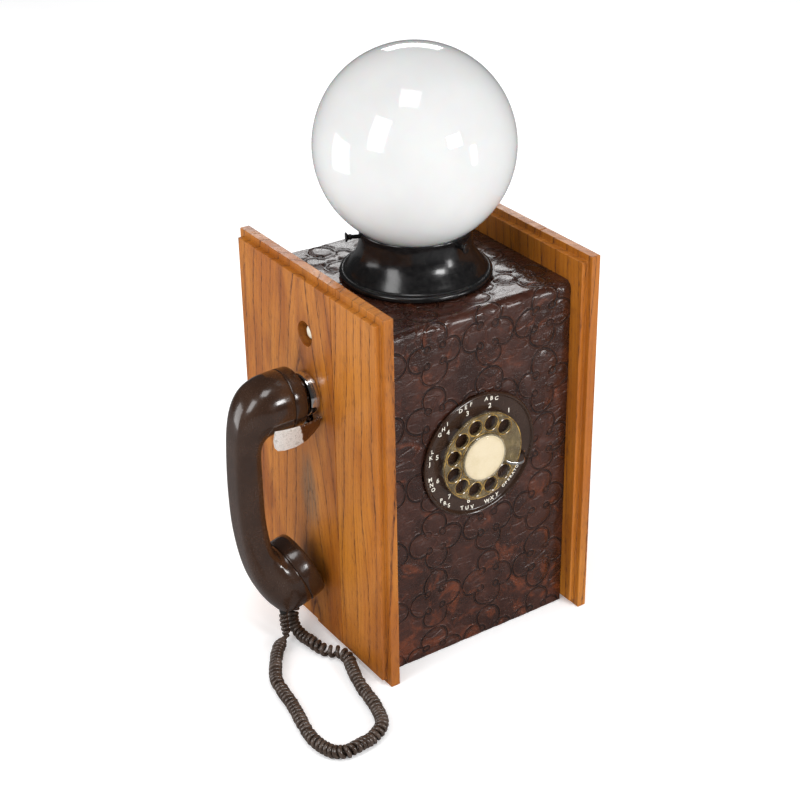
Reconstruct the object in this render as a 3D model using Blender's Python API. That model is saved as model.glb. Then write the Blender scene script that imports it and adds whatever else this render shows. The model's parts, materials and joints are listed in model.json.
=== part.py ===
"""Novelty bar telephone: wooden side panels, leather-covered body, rotary dial, hook handset and globe lamp.

Metres, +Z up, +X to the right of the dial, -Y to the front. The origin is the centre of the underside.
"""

import math

import bmesh
import bpy
from mathutils import Vector

GAP = 0.0003

# Side panels: each has a wider lip on its +X half and a smaller field on its -X half.
PANEL_HEIGHT = 0.318
PANEL_HALF_DEPTH = 0.102
LIP_THICK = 0.008
FIELD_THICK = 0.005
FIELD_INSET = 0.0052
BOARD_JOINT_Y = -0.038
KICK_NOTCH = 0.0025

# Body between the panels.
BODY_HALF_WIDTH = 0.0865
BODY_FRONT_Y = -0.085
BODY_REAR_Y = 0.083
BODY_TOP_Z = 0.294
LEATHER_THICK = 0.002
CORNER_RADIUS = 0.007
BOARD_THICK = 0.010

# Dial.
DIAL_Z = 0.172
BEZEL_RADIUS = 0.052
WHEEL_RADIUS = 0.0369
HOLE_RING_RADIUS = 0.0282
FINGER_HOLE_RADIUS = 0.0062
FIRST_HOLE_DEG = 45.0
DIGITS = 10
DIAL_BORE = 0.042

# Lamp.
LAMP_Y = -0.0023
GLOBE_Z = 0.3967
GLOBE_RADIUS = 0.0762
GLOBE_WALL = 0.003
FITTER_NECK = 0.0431
SCREW_Z = 0.3268
SCREWS = ((155.0, 0.0126), (42.0, 0.0126), (-75.0, 0.0088))

# Switch button in the left panel.
BUTTON_Z = 0.2684
BUTTON_BORE = 0.010

# Handset and hook.
EAR_Z = 0.2199
EAR_RADIUS = 0.0236
EAR_SEAM_X = -0.1232
MOUTH_SEAM = (-0.1234, 0.0, 0.0634)
MOUTH_TILT_DEG = 22.0
MOUTH_RADIUS = 0.028
HOOK_PIVOT = (-0.076, 0.0, 0.1965)
ARM_RADIUS = 0.0268
ARM_THICK = 0.0016
ARM_DISH = 0.0022
BOSS_RADIUS = 0.0178
BOSS_Y = -0.002

# Cord.
COIL_RADIUS = 0.0055
WIRE_RADIUS = 0.0018
GROMMET_Y = 0.018
GROMMET_Z = 0.030

LEFT_FACE = -BODY_HALF_WIDTH - LIP_THICK - FIELD_THICK
LEFT_INNER = -BODY_HALF_WIDTH
RIGHT_INNER = BODY_HALF_WIDTH


def start_scene():
    for obj in list(bpy.data.objects):
        bpy.data.objects.remove(obj, do_unlink=True)
    part = bpy.data.collections.new("bar_telephone")
    cutters = bpy.data.collections.new("cutters")
    cutters.hide_render = True
    bpy.context.scene.collection.children.link(part)
    bpy.context.scene.collection.children.link(cutters)
    return part, cutters


PART, CUTTERS = start_scene()


def material(name, colour, roughness=0.5, metallic=0.0, transmission=0.0):
    made = bpy.data.materials.new(name)
    made.use_nodes = True
    shader = made.node_tree.nodes["Principled BSDF"]
    shader.inputs["Base Color"].default_value = (*colour, 1.0)
    shader.inputs["Roughness"].default_value = roughness
    shader.inputs["Metallic"].default_value = metallic
    shader.inputs["Transmission Weight"].default_value = transmission
    made.diffuse_color = (*colour, 1.0)
    return made


OAK = material("oak", (0.50, 0.20, 0.06), 0.4)
PLY = material("plywood", (0.55, 0.40, 0.24), 0.7)
LEATHER = material("tooled_leather", (0.12, 0.03, 0.02), 0.35)
BROWN = material("brown_plastic", (0.07, 0.035, 0.02), 0.2)
DARK = material("dark_plastic", (0.03, 0.02, 0.015), 0.35)
CLEAR = material("clear_acrylic", (0.75, 0.66, 0.42), 0.1, 0.0, 0.8)
CARD = material("card", (0.85, 0.78, 0.6), 0.6)
CHROME = material("chrome", (0.8, 0.8, 0.8), 0.08, 1.0)
STEEL = material("steel", (0.5, 0.5, 0.5), 0.35, 1.0)
BRASS = material("brass", (0.7, 0.5, 0.2), 0.3, 1.0)
BLACK = material("black_paint", (0.01, 0.01, 0.01), 0.25)
OPAL = material("opal_glass", (0.93, 0.93, 0.92), 0.08)
PORCELAIN = material("porcelain", (0.85, 0.84, 0.8), 0.25)
GLASS = material("bulb_glass", (0.95, 0.95, 0.93), 0.2)
IVORY = material("ivory_plastic", (0.85, 0.83, 0.74), 0.35)
RUBBER = material("rubber", (0.03, 0.03, 0.03), 0.7)
CORD = material("cord_vinyl", (0.05, 0.035, 0.03), 0.3)


def shape(name, points, faces, finish, origin=(0, 0, 0), cutter=False):
    """An object from world points, its own origin at the one given and its faces turned outward."""
    start = Vector(origin)
    mesh = bpy.data.meshes.new(name)
    mesh.from_pydata([Vector(p) - start for p in points], [], faces)
    edit = bmesh.new()
    edit.from_mesh(mesh)
    bmesh.ops.recalc_face_normals(edit, faces=edit.faces)
    edit.to_mesh(mesh)
    edit.free()
    obj = bpy.data.objects.new(name, mesh)
    obj.location = start
    if cutter:
        CUTTERS.objects.link(obj)
        obj.hide_render = True
        obj.display_type = "WIRE"
    else:
        PART.objects.link(obj)
        mesh.materials.append(finish)
    return obj


def box(name, low, high, finish=None, cutter=False):
    xs, ys, zs = zip(low, high)
    points = [(x, y, z) for x in xs for y in ys for z in zs]
    faces = [(0, 1, 3, 2), (4, 6, 7, 5), (0, 4, 5, 1), (2, 3, 7, 6), (0, 2, 6, 4), (1, 5, 7, 3)]
    return shape(name, points, faces, finish, cutter=cutter)


def prism(name, outline, along, low, high, finish=None, cutter=False):
    """A flat outline carried along one axis; its two numbers are the other axes in X, Y, Z order."""
    def place(pair, level):
        spot = list(pair)
        spot.insert(along, level)
        return tuple(spot)

    count = len(outline)
    points = [place(pair, level) for level in (low, high) for pair in outline]
    faces = [tuple(range(count)), tuple(range(count, 2 * count))]
    for i in range(count):
        j = (i + 1) % count
        faces.append((i, j, count + j, count + i))
    return shape(name, points, faces, finish, cutter=cutter)


def lathe(name, profile, origin, axis, finish=None, segments=24, cutter=False):
    """A closed profile of (radius, height) turned about an axis; radius 0 is a point on the axis."""
    start = Vector(origin)
    up = Vector(axis).normalized()
    side = Vector((0, 1, 0)) if abs(up.y) < 0.9 else Vector((1, 0, 0))
    side = (side - up * side.dot(up)).normalized()
    other = up.cross(side)
    points = []
    rings = []
    for radius, height in profile:
        if radius <= 0:
            rings.append([len(points)] * segments)
            points.append(start + up * height)
            continue
        rings.append(list(range(len(points), len(points) + segments)))
        for k in range(segments):
            turn = 2 * math.pi * k / segments
            points.append(start + up * height + (side * math.cos(turn) + other * math.sin(turn)) * radius)
    faces = []
    open_ends = profile[0][0] <= 0 and profile[-1][0] <= 0
    pairs = zip(rings, rings[1:]) if open_ends else zip(rings, rings[1:] + rings[:1])
    for lower, upper in pairs:
        for k in range(segments):
            j = (k + 1) % segments
            corners = list(dict.fromkeys((lower[k], lower[j], upper[j], upper[k])))
            if len(corners) > 2:
                faces.append(corners)
    return shape(name, points, faces, finish, origin=origin, cutter=cutter)


def rod(name, radius, start, end, finish=None, segments=24, cutter=False):
    run = Vector(end) - Vector(start)
    profile = [(0, 0), (radius, 0), (radius, run.length), (0, run.length)]
    return lathe(name, profile, start, run, finish, segments, cutter)


def loft(name, rings, finish, origin=(0, 0, 0)):
    count = len(rings[0])
    points = [p for ring in rings for p in ring]
    faces = [tuple(range(count)), tuple(range(len(points) - count, len(points)))]
    for i in range(len(rings) - 1):
        for k in range(count):
            j = (k + 1) % count
            faces.append((i * count + k, i * count + j, (i + 1) * count + j, (i + 1) * count + k))
    return shape(name, points, faces, finish, origin=origin)


def boolean(obj, other, operation):
    modifier = obj.modifiers.new(operation.lower(), "BOOLEAN")
    modifier.operation = operation
    modifier.solver = "EXACT"
    modifier.object = other


def cut(obj, *others):
    for other in others:
        boolean(obj, other, "DIFFERENCE")


def join(obj, *others):
    for other in others:
        boolean(obj, other, "UNION")


def smooth_route(anchors, count):
    """Points at even spacing on a smooth curve through the anchors."""
    spots = [Vector(a) for a in anchors]
    spots = [spots[0] * 2 - spots[1]] + spots + [spots[-1] * 2 - spots[-2]]
    fine = []
    for a, b, c, d in zip(spots, spots[1:], spots[2:], spots[3:]):
        for k in range(24):
            t = k / 24
            fine.append(
                0.5 * (2 * b + (c - a) * t + (2 * a - 5 * b + 4 * c - d) * t**2
                       + (3 * b - a - 3 * c + d) * t**3)
            )
    fine.append(spots[-2])
    lengths = [0.0]
    for p, q in zip(fine, fine[1:]):
        lengths.append(lengths[-1] + (q - p).length)
    route = []
    at = 0
    for k in range(count):
        want = lengths[-1] * k / (count - 1)
        while at < len(lengths) - 2 and lengths[at + 1] < want:
            at += 1
        share = (want - lengths[at]) / max(lengths[at + 1] - lengths[at], 1e-9)
        route.append(fine[at].lerp(fine[at + 1], min(max(share, 0), 1)))
    return route


def tube(name, route, radius, finish, resolution=2):
    curve = bpy.data.curves.new(name, "CURVE")
    curve.dimensions = "3D"
    curve.bevel_depth = radius
    curve.bevel_resolution = resolution
    curve.use_fill_caps = True
    line = curve.splines.new("POLY")
    line.points.add(len(route) - 1)
    for point, spot in zip(line.points, route):
        point.co = (*spot, 1.0)
    curve.materials.append(finish)
    obj = bpy.data.objects.new(name, curve)
    PART.objects.link(obj)
    return obj


def side_board(name, field_x, lip_x, front, rear, field_front, field_rear, field_low):
    board = box(name, (lip_x[0], front, 0), (lip_x[1], rear, PANEL_HEIGHT), OAK)
    middle = (lip_x[0] + lip_x[1]) / 2
    low_x = min(field_x[0], middle)
    high_x = max(field_x[1], middle)
    field = box(
        name + "_field",
        (low_x, field_front, field_low),
        (high_x, field_rear, PANEL_HEIGHT - FIELD_INSET),
        cutter=True,
    )
    join(board, field)
    return board


def side_panels():
    made = {}
    for side, field_start in (("left", LEFT_FACE), ("right", RIGHT_INNER)):
        field_x = (field_start, field_start + FIELD_THICK)
        lip_x = (field_x[1], field_x[1] + LIP_THICK)
        made[side, "front"] = side_board(
            f"side_{side}_front_board", field_x, lip_x,
            -PANEL_HALF_DEPTH, BOARD_JOINT_Y - GAP / 2,
            -PANEL_HALF_DEPTH + FIELD_INSET, BOARD_JOINT_Y - GAP / 2, FIELD_INSET,
        )
        made[side, "rear"] = side_board(
            f"side_{side}_rear_board", field_x, lip_x,
            BOARD_JOINT_Y + GAP / 2, PANEL_HALF_DEPTH,
            BOARD_JOINT_Y + GAP / 2, PANEL_HALF_DEPTH - FIELD_INSET, FIELD_INSET,
        )
    rear = made["left", "rear"]
    notch = box("kick_notch_cut", (LEFT_FACE - 0.002, 0, -0.01),
                (LEFT_FACE + FIELD_THICK, PANEL_HALF_DEPTH + 0.01, FIELD_INSET + KICK_NOTCH), cutter=True)
    bore = rod("button_bore_cut", BUTTON_BORE, (LEFT_FACE - 0.005, 0, BUTTON_Z),
               (LEFT_INNER + 0.005, 0, BUTTON_Z), segments=32, cutter=True)
    slot = box("hook_slot_cut", (LEFT_FACE - 0.005, -0.0064, 0.1905), (LEFT_INNER + 0.005, 0.0064, 0.206),
               cutter=True)
    entry = rod("cord_entry_cut", 0.006, (LEFT_FACE - 0.005, GROMMET_Y, GROMMET_Z),
                (LEFT_INNER + 0.005, GROMMET_Y, GROMMET_Z), segments=20, cutter=True)
    cut(rear, notch, bore, slot, entry)


def body_boards():
    wide = BODY_HALF_WIDTH - GAP
    inside_front = BODY_FRONT_Y + LEATHER_THICK + GAP
    top_low = BODY_TOP_Z - LEATHER_THICK - GAP - BOARD_THICK
    bottom = box("bottom_board", (-wide, inside_front, 0), (wide, BODY_REAR_Y, 0.012), PLY)
    top = box("top_board", (-wide, inside_front, top_low), (wide, BODY_REAR_Y, top_low + BOARD_THICK), PLY)
    front = box("front_board", (-wide, inside_front, 0.0123), (wide, inside_front + 0.009, top_low - GAP),
                PLY)
    cut(front, rod("dial_bore_cut", DIAL_BORE, (0, -0.09, DIAL_Z), (0, -0.06, DIAL_Z), segments=32,
                   cutter=True))
    cut(top, rod("nipple_bore_cut", 0.0054, (0, LAMP_Y, 0.27), (0, LAMP_Y, 0.30), segments=16, cutter=True))
    back = box("back_panel", (-wide + 0.001, BODY_REAR_Y + GAP, 0.0015),
               (wide - 0.001, BODY_REAR_Y + GAP + 0.004, 0.2905), PLY)
    for k, (x, z) in enumerate(((-0.076, 0.006), (0.076, 0.006), (-0.076, 0.2867), (0.076, 0.2867)), 1):
        hole = rod(f"back_screw_cut_{k}", 0.0019, (x, 0.05, z), (x, 0.12, z), segments=12, cutter=True)
        cut(back, hole)
        cut(bottom if z < 0.1 else top, hole)
        start = BODY_REAR_Y + GAP + 0.004 + GAP
        lathe(f"back_screw_{k}",
              [(0, -0.018), (0.0014, -0.016), (0.0016, 0), (0.0038, 0), (0.0034, 0.0014), (0.0018, 0.0022),
               (0, 0.0022)],
              (x, start, z), (0, 1, 0), STEEL, 12)
    for name, x in (("mains_bushing", -0.05), ("line_bushing", 0.05)):
        cut(back, rod(name + "_cut", 0.006, (x, 0.07, 0.032), (x, 0.12, 0.032), segments=20, cutter=True))
        lathe(name,
              [(0.003, -0.0055), (0.0056, -0.0055), (0.0056, 0), (0.0085, 0), (0.0085, 0.0012),
               (0.007, 0.0026), (0.003, 0.0026)],
              (x, BODY_REAR_Y + 2 * GAP + 0.004, 0.032), (0, 1, 0), RUBBER, 20)


def leather():
    outer = []
    inner = []
    for k in range(7):
        turn = math.pi * (1 - k / 12)
        outer.append((BODY_FRONT_Y + CORNER_RADIUS * (1 + math.cos(turn)),
                      BODY_TOP_Z - CORNER_RADIUS * (1 - math.sin(turn))))
        small = CORNER_RADIUS - LEATHER_THICK
        inner.append((BODY_FRONT_Y + CORNER_RADIUS + small * math.cos(turn),
                      BODY_TOP_Z - CORNER_RADIUS + small * math.sin(turn)))
    outline = [(BODY_FRONT_Y, 0.0005)] + outer + [(BODY_REAR_Y, BODY_TOP_Z),
                                                  (BODY_REAR_Y, BODY_TOP_Z - LEATHER_THICK)]
    outline += inner[::-1] + [(BODY_FRONT_Y + LEATHER_THICK, 0.0005)]
    wide = BODY_HALF_WIDTH - GAP
    skin = prism("leather_cover", outline, 0, -wide, wide, LEATHER)
    cut(skin,
        rod("leather_dial_cut", DIAL_BORE, (0, -0.09, DIAL_Z), (0, -0.075, DIAL_Z), segments=32, cutter=True),
        rod("leather_lamp_cut", 0.0072, (0, LAMP_Y, 0.288), (0, LAMP_Y, 0.30), segments=16, cutter=True))


def chamfer_top_board():
    """The top board's front edge clears the inside of the rounded leather corner."""
    high = BODY_TOP_Z - LEATHER_THICK
    front = BODY_FRONT_Y + LEATHER_THICK
    outline = [(front - 0.003, high - 0.007), (front + 0.007, high + 0.003), (front - 0.003, high + 0.003)]
    cut(bpy.data.objects["top_board"], prism("top_chamfer_cut", outline, 0, -0.1, 0.1, cutter=True))


def dial():
    centre = (0, 0, DIAL_Z)
    forward = (0, -1, 0)
    lathe("dial_bezel",
          [(BEZEL_RADIUS - 0.001, 0.0853), (BEZEL_RADIUS, 0.0860), (BEZEL_RADIUS, 0.0872), (0.0514, 0.0880),
           (0.0507, 0.0882), (0.0500, 0.0878), (0.0493, 0.0867), (0.0487, 0.0861), (0.0480, 0.0859),
           (0.0045, 0.0859), (0.0045, 0.0853)],
          centre, forward, BROWN, 36)
    wheel = lathe("finger_wheel",
                  [(0.0035, 0.0889), (0.0362, 0.0889), (WHEEL_RADIUS, 0.0894), (WHEEL_RADIUS, 0.0910),
                   (0.0362, 0.0915), (0.0202, 0.0915), (0.0198, 0.0929), (0.0035, 0.0929)],
                  centre, forward, CLEAR, 36)
    for k in range(DIGITS):
        turn = math.radians(FIRST_HOLE_DEG + 30.0 * k)
        x = HOLE_RING_RADIUS * math.cos(turn)
        z = DIAL_Z + HOLE_RING_RADIUS * math.sin(turn)
        cut(wheel, rod(f"finger_hole_cut_{k}", FINGER_HOLE_RADIUS, (x, -0.097, z), (x, -0.086, z),
                       segments=14,
                       cutter=True))
    lathe("number_card", [(0, 0.0932), (0.0185, 0.0932), (0.0185, 0.0936), (0, 0.0936)], centre, forward,
          CARD, 32)
    lathe("card_retainer",
          [(0, 0.0940), (0.0186, 0.0940), (0.0191, 0.0932), (0.0197, 0.0932), (0.0196, 0.0944),
           (0.0186, 0.0950), (0, 0.0953)],
          centre, forward, CLEAR, 32)
    rod("dial_shaft", 0.0032, (0, -0.0926, DIAL_Z), (0, -0.0500, DIAL_Z), STEEL, 16)
    cam = lathe("pulse_cam", [(0.0035, 0.060), (0.012, 0.060), (0.012, 0.064), (0.0035, 0.064)],
                centre, forward, BRASS, 24)
    cut(cam, box("pulse_cam_cut", (0.009, -0.07, DIAL_Z - 0.003), (0.02, -0.05, DIAL_Z + 0.003), cutter=True))
    lathe("dial_case",
          [(0.0398, 0.0849), (0.0410, 0.0849), (0.0410, 0.0530), (0.0390, 0.0510), (0.0036, 0.0510),
           (0.0036, 0.0530), (0.0380, 0.0530), (0.0398, 0.0545)],
          centre, forward, DARK, 32)
    finger_stop()


def finger_stop():
    spots = ((0.0452, -11.5, 0.0868), (0.0442, -13.0, 0.0884), (0.0425, -16.0, 0.0918),
             (0.0402, -19.5, 0.0946), (0.0370, -23.0, 0.0958), (0.0325, -25.5, 0.0961),
             (0.0280, -27.0, 0.0957), (0.0242, -26.5, 0.0951), (0.0218, -25.0, 0.0946))
    widths = (0.0036, 0.0036, 0.0033, 0.0029, 0.0025, 0.0022, 0.0020, 0.0018, 0.0013)
    line = []
    for radius, degrees, height in spots:
        turn = math.radians(degrees)
        line.append(Vector((radius * math.cos(turn), -height, DIAL_Z + radius * math.sin(turn))))
    rings = []
    for k, (spot, width) in enumerate(zip(line, widths)):
        run = (line[min(k + 1, len(line) - 1)] - line[max(k - 1, 0)]).normalized()
        across = run.cross(Vector((0, 1, 0))).normalized()
        lift = across.cross(run).normalized()
        thick = 0.0006
        rings.append([spot + across * width * a + lift * thick * b
                      for a, b in ((-0.5, -1), (0.5, -1), (0.62, 0), (0.5, 1), (-0.5, 1), (-0.62, 0))])
    loft("finger_stop", rings, CHROME, origin=line[0])


def handset():
    sections = (
        (-0.1232, 0.2435, -0.1232, 0.1963, 0.0236, 2.0),
        (-0.1370, 0.2425, -0.1310, 0.1965, 0.0234, 2.0),
        (-0.1480, 0.2385, -0.1370, 0.1965, 0.0222, 2.1),
        (-0.1565, 0.2315, -0.1420, 0.1950, 0.0190, 2.4),
        (-0.1630, 0.2205, -0.1450, 0.1900, 0.0155, 2.8),
        (-0.1667, 0.2050, -0.1462, 0.1830, 0.0133, 3.2),
        (-0.1682, 0.1860, -0.1464, 0.1730, 0.0122, 3.6),
        (-0.1688, 0.1650, -0.1466, 0.1610, 0.0118, 4.0),
        (-0.1688, 0.1450, -0.1466, 0.1450, 0.0118, 4.0),
        (-0.1676, 0.1200, -0.1460, 0.1260, 0.0118, 4.0),
        (-0.1643, 0.0950, -0.1435, 0.1070, 0.0122, 3.6),
        (-0.1590, 0.0730, -0.1405, 0.0965, 0.0140, 3.0),
        (-0.1512, 0.0545, -0.1380, 0.0918, 0.0183, 2.5),
        (-0.1428, 0.0407, -0.1365, 0.0900, 0.0233, 2.2),
        (-0.1328, 0.0326, -0.1345, 0.0893, 0.0266, 2.05),
    )
    tilt = math.radians(MOUTH_TILT_DEG)
    seam = Vector(MOUTH_SEAM)
    down = Vector((math.sin(tilt), 0, -math.cos(tilt))) * MOUTH_RADIUS
    low = seam + down
    high = seam - down
    sections += ((low.x, low.z, high.x, high.z, MOUTH_RADIUS, 2.0),)
    rings = []
    for xo, zo, xi, zi, half, power in sections:
        centre = Vector(((xo + xi) / 2, 0, (zo + zi) / 2))
        reach = Vector(((xo - xi) / 2, 0, (zo - zi) / 2))
        ring = []
        for k in range(20):
            turn = 2 * math.pi * k / 20
            c, s = math.cos(turn), math.sin(turn)
            along = math.copysign(abs(c) ** (2 / power), c)
            across = math.copysign(abs(s) ** (2 / power), s)
            ring.append(centre + reach * along + Vector((0, half * across, 0)))
        rings.append(ring)
    body = loft("handset_body", rings, BROWN, origin=(-0.1577, 0, 0.15))
    ear_axis = Vector((1, 0, 0))
    mouth_axis = Vector((math.cos(tilt), 0, math.sin(tilt)))
    ear = Vector((EAR_SEAM_X, 0, EAR_Z))
    cut(body,
        rod("ear_bore_cut", 0.0190, ear - ear_axis * 0.011, ear + ear_axis * 0.01, segments=24, cutter=True),
        rod("mouth_bore_cut", 0.0215, seam - mouth_axis * 0.011, seam + mouth_axis * 0.01, segments=24,
            cutter=True))
    lathe("ear_cap",
          [(0.0196, 0.0003), (EAR_RADIUS, 0.0003), (EAR_RADIUS, 0.0085), (0.0230, 0.0106), (0.0216, 0.0114),
           (0.0150, 0.0108), (0.0060, 0.0096), (0, 0.0094), (0, 0.0070), (0.0196, 0.0076)],
          ear, ear_axis, BROWN, 28)
    lathe("mouth_cap",
          [(0.0222, 0.0003), (0.0283, 0.0003), (0.0283, 0.0030), (0.0277, 0.0120), (0.0265, 0.0142),
           (0.0248, 0.0150), (0.0160, 0.0144), (0.0060, 0.0130), (0, 0.0128), (0, 0.0098), (0.0222, 0.0108)],
          seam, mouth_axis, BROWN, 28)
    rod("receiver_capsule", 0.0187, ear - ear_axis * 0.0106, ear + ear_axis * 0.0064, DARK, 24)
    rod("transmitter_capsule", 0.0211, seam - mouth_axis * 0.0106, seam + mouth_axis * 0.0094, DARK, 24)
    lathe("handset_grommet",
          [(0.0021, 0), (0.0029, 0), (0.0037, 0.0045), (0.0037, 0.0058), (0.0021, 0.0058)],
          (-0.131, 0, 0.0262), (0, 0, 1), RUBBER, 16)


def hook_arm(name, side):
    """One curved arm of the fork: a leaf-shaped plate beside and below the ear cup, side -1 to the front."""
    stations = ((-0.1021, 0.44), (-0.1065, 0.68), (-0.1130, 0.88), (-0.1220, 0.98), (-0.1310, 1.0),
                (-0.1372, 0.98), (-0.1405, 0.84), (-0.1418, 0.62))
    rings = []
    for x, reach in stations:
        dish = ARM_DISH * (1 - ((x + 0.1220) / 0.0200) ** 2)
        ring = []
        for inset, order in ((ARM_THICK, 1), (0, -1)):
            for step in (0, 0.25, 0.5, 0.75, 1)[::order]:
                t = reach * step
                turn = math.radians(64 - 36 * t)
                radius = ARM_RADIUS + 0.0092 * t * t + dish - inset
                ring.append(Vector((x, side * radius * math.sin(turn), EAR_Z - radius * math.cos(turn))))
        rings.append(ring)
    arm = loft(name, rings, CHROME)
    PART.objects.unlink(arm)
    CUTTERS.objects.link(arm)
    arm.hide_render = True
    arm.display_type = "WIRE"
    return arm


def fork_bridge():
    """The curved strip that joins the two arms under the boss."""
    outline = []
    for radius, turns in ((0.0240, range(-62, 63, 12)), (0.0272, range(58, -63, -12))):
        for turn in turns:
            a = math.radians(turn)
            outline.append((radius * math.sin(a), EAR_Z - radius * math.cos(a)))
    return prism("hook_fork", outline, 0, -0.1042, -0.1015, CHROME)


def hook():
    boss = lathe("hook_boss",
                 [(0, 0.0998), (BOSS_RADIUS, 0.0998), (BOSS_RADIUS, 0.1064), (BOSS_RADIUS - 0.001, 0.1074),
                  (0, 0.1078)],
                 (0, BOSS_Y, EAR_Z), (-1, 0, 0), CHROME, 28)
    cut(boss, box("boss_notch_cut", (-0.12, -0.0064, 0.185), (-0.09, 0.0064, 0.2085), cutter=True))
    fork = fork_bridge()
    left = hook_arm("fork_arm_rear_add", 1)
    right = hook_arm("fork_arm_front_add", -1)
    stem = prism("fork_stem_add",
                 [(-0.1040, 0.1932), (-0.1040, 0.1965), (-0.1010, 0.1990), (-0.0620, 0.1995),
                  (-0.0620, 0.1960), (-0.0700, 0.1925), (-0.0820, 0.1925), (-0.1010, 0.1932)],
                 1, -0.005, 0.005, cutter=True)
    join(fork, left, right, stem)
    px, _, pz = HOOK_PIVOT
    cut(fork, rod("fork_eye_cut", 0.0022, (px, -0.01, pz), (px, 0.01, pz), segments=16, cutter=True))
    rod("hook_pin", 0.0020, (px, -0.0115, pz), (px, 0.0115, pz), STEEL, 16)
    bracket = box("hook_bracket", (LEFT_INNER + GAP, -0.0125, 0.180), (LEFT_INNER + 0.0018, 0.0125, 0.212),
                  STEEL)
    for side in (-1, 1):
        ys = sorted((side * 0.0092, side * 0.0107))
        ear = box(f"bracket_ear_add_{side + 1}", (LEFT_INNER + 0.0010, ys[0], 0.182), (-0.0560, ys[1], 0.204),
                  cutter=True)
        join(bracket, ear)
    cut(bracket,
        box("bracket_slot_cut", (-0.095, -0.0064, 0.1905), (-0.080, 0.0064, 0.206), cutter=True),
        rod("bracket_eye_cut", 0.00206, (px, -0.02, pz), (px, 0.02, pz), segments=16, cutter=True))
    box("hook_contacts", (-0.0700, -0.0088, 0.1825), (-0.0570, 0.0088, 0.1895), DARK)


def lamp():
    base = (0, LAMP_Y, 0)
    up = (0, 0, 1)
    fitter = lathe("lamp_fitter",
                   [(0.0570, 0.2943), (0.0584, 0.2950), (0.0588, 0.2966), (0.0582, 0.2982), (0.0568, 0.2990),
                    (0.0550, 0.2992), (0.0536, 0.3006), (0.0512, 0.3044), (0.0480, 0.3088), (0.0455, 0.3132),
                    (0.0440, 0.3175), (0.0433, 0.3220), (FITTER_NECK, 0.3314), (0.0437, 0.3322),
                    (0.0431, 0.3332), (0.0423, 0.3326), (0.0420, 0.3314), (0.0420, 0.3160),
                    (0.0054, 0.3160), (0.0054, 0.3146), (0.0434, 0.3146), (0.0452, 0.3108),
                    (0.0480, 0.3068), (0.0516, 0.3016), (0.0545, 0.2980), (0.0562, 0.2972)],
                   base, up, BLACK, 28)
    for k, (degrees, length) in enumerate(SCREWS, 1):
        turn = math.radians(degrees)
        out = Vector((math.cos(turn), math.sin(turn), 0))
        centre = Vector((0, LAMP_Y, SCREW_Z))
        cut(fitter, rod(f"thumbscrew_cut_{k}", 0.0020, centre + out * 0.035, centre + out * 0.05, segments=12,
                        cutter=True))
        lathe(f"thumbscrew_{k}",
              [(0, 0), (0.0016, 0.0003), (0.0016, length - 0.0056), (0.0024, length - 0.0044),
               (0.0020, length - 0.0026), (0.0038, length - 0.0014), (0.0038, length - 0.0004), (0, length)],
              centre + out * 0.0416, out, BLACK, 12)
    lathe("lamp_nipple", [(0.0034, 0.2740), (0.0049, 0.2740), (0.0049, 0.3228), (0.0034, 0.3228)], base, up,
          STEEL, 16)
    for name, low in (("lamp_nut_lower", 0.2774), ("lamp_nut_upper", 0.3163)):
        lathe(name, [(0.0060, low), (0.0092, low), (0.0092, low + 0.0030), (0.0060, low + 0.0030)], base,
              up, STEEL, 6)
    lathe("lamp_socket",
          [(0.0052, 0.3196), (0.0150, 0.3196), (0.0170, 0.3216), (0.0176, 0.3300), (0.0192, 0.3330),
           (0.0192, 0.3520), (0.0180, 0.3535), (0.0142, 0.3535), (0.0142, 0.3250), (0.0052, 0.3250)],
          base, up, PORCELAIN, 24)
    lathe("bulb_base",
          [(0, 0.3256), (0.0045, 0.3258), (0.0062, 0.3280), (0.0126, 0.3296), (0.0132, 0.3310),
           (0.0132, 0.3500), (0, 0.3500)],
          base, up, BRASS, 20)
    lathe("bulb_glass",
          [(0, 0.3503), (0.0136, 0.3503), (0.0140, 0.3560), (0.0158, 0.3640), (0.0205, 0.3740),
           (0.0260, 0.3840), (0.0293, 0.3940), (0.0300, 0.4030), (0.0288, 0.4130), (0.0250, 0.4220),
           (0.0175, 0.4295), (0.0085, 0.4325), (0, 0.4332)],
          base, up, GLASS, 20)
    globe()


def globe():
    outer = [(0.0380, 0.3164), (0.0406, 0.3166), (0.0413, 0.3178), (0.0411, 0.3190), (0.0398, 0.3204),
             (0.0392, 0.3222), (0.0392, 0.3290)]
    first = math.acos(0.0410 / GLOBE_RADIUS)
    for k in range(13):
        turn = -first + (math.pi / 2 + first) * k / 12
        outer.append((GLOBE_RADIUS * math.cos(turn) if k < 12 else 0,
                      GLOBE_Z + GLOBE_RADIUS * math.sin(turn)))
    inner_radius = GLOBE_RADIUS - GLOBE_WALL
    first = math.acos(0.0385 / inner_radius)
    inner = []
    for k in range(10):
        turn = math.pi / 2 - (math.pi / 2 + first) * k / 9
        inner.append((inner_radius * math.cos(turn) if k else 0, GLOBE_Z + inner_radius * math.sin(turn)))
    inner += [(0.0372, 0.3310), (0.0370, 0.3170)]
    start = Vector((0, LAMP_Y, 0))
    shell(start, outer, inner)


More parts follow.
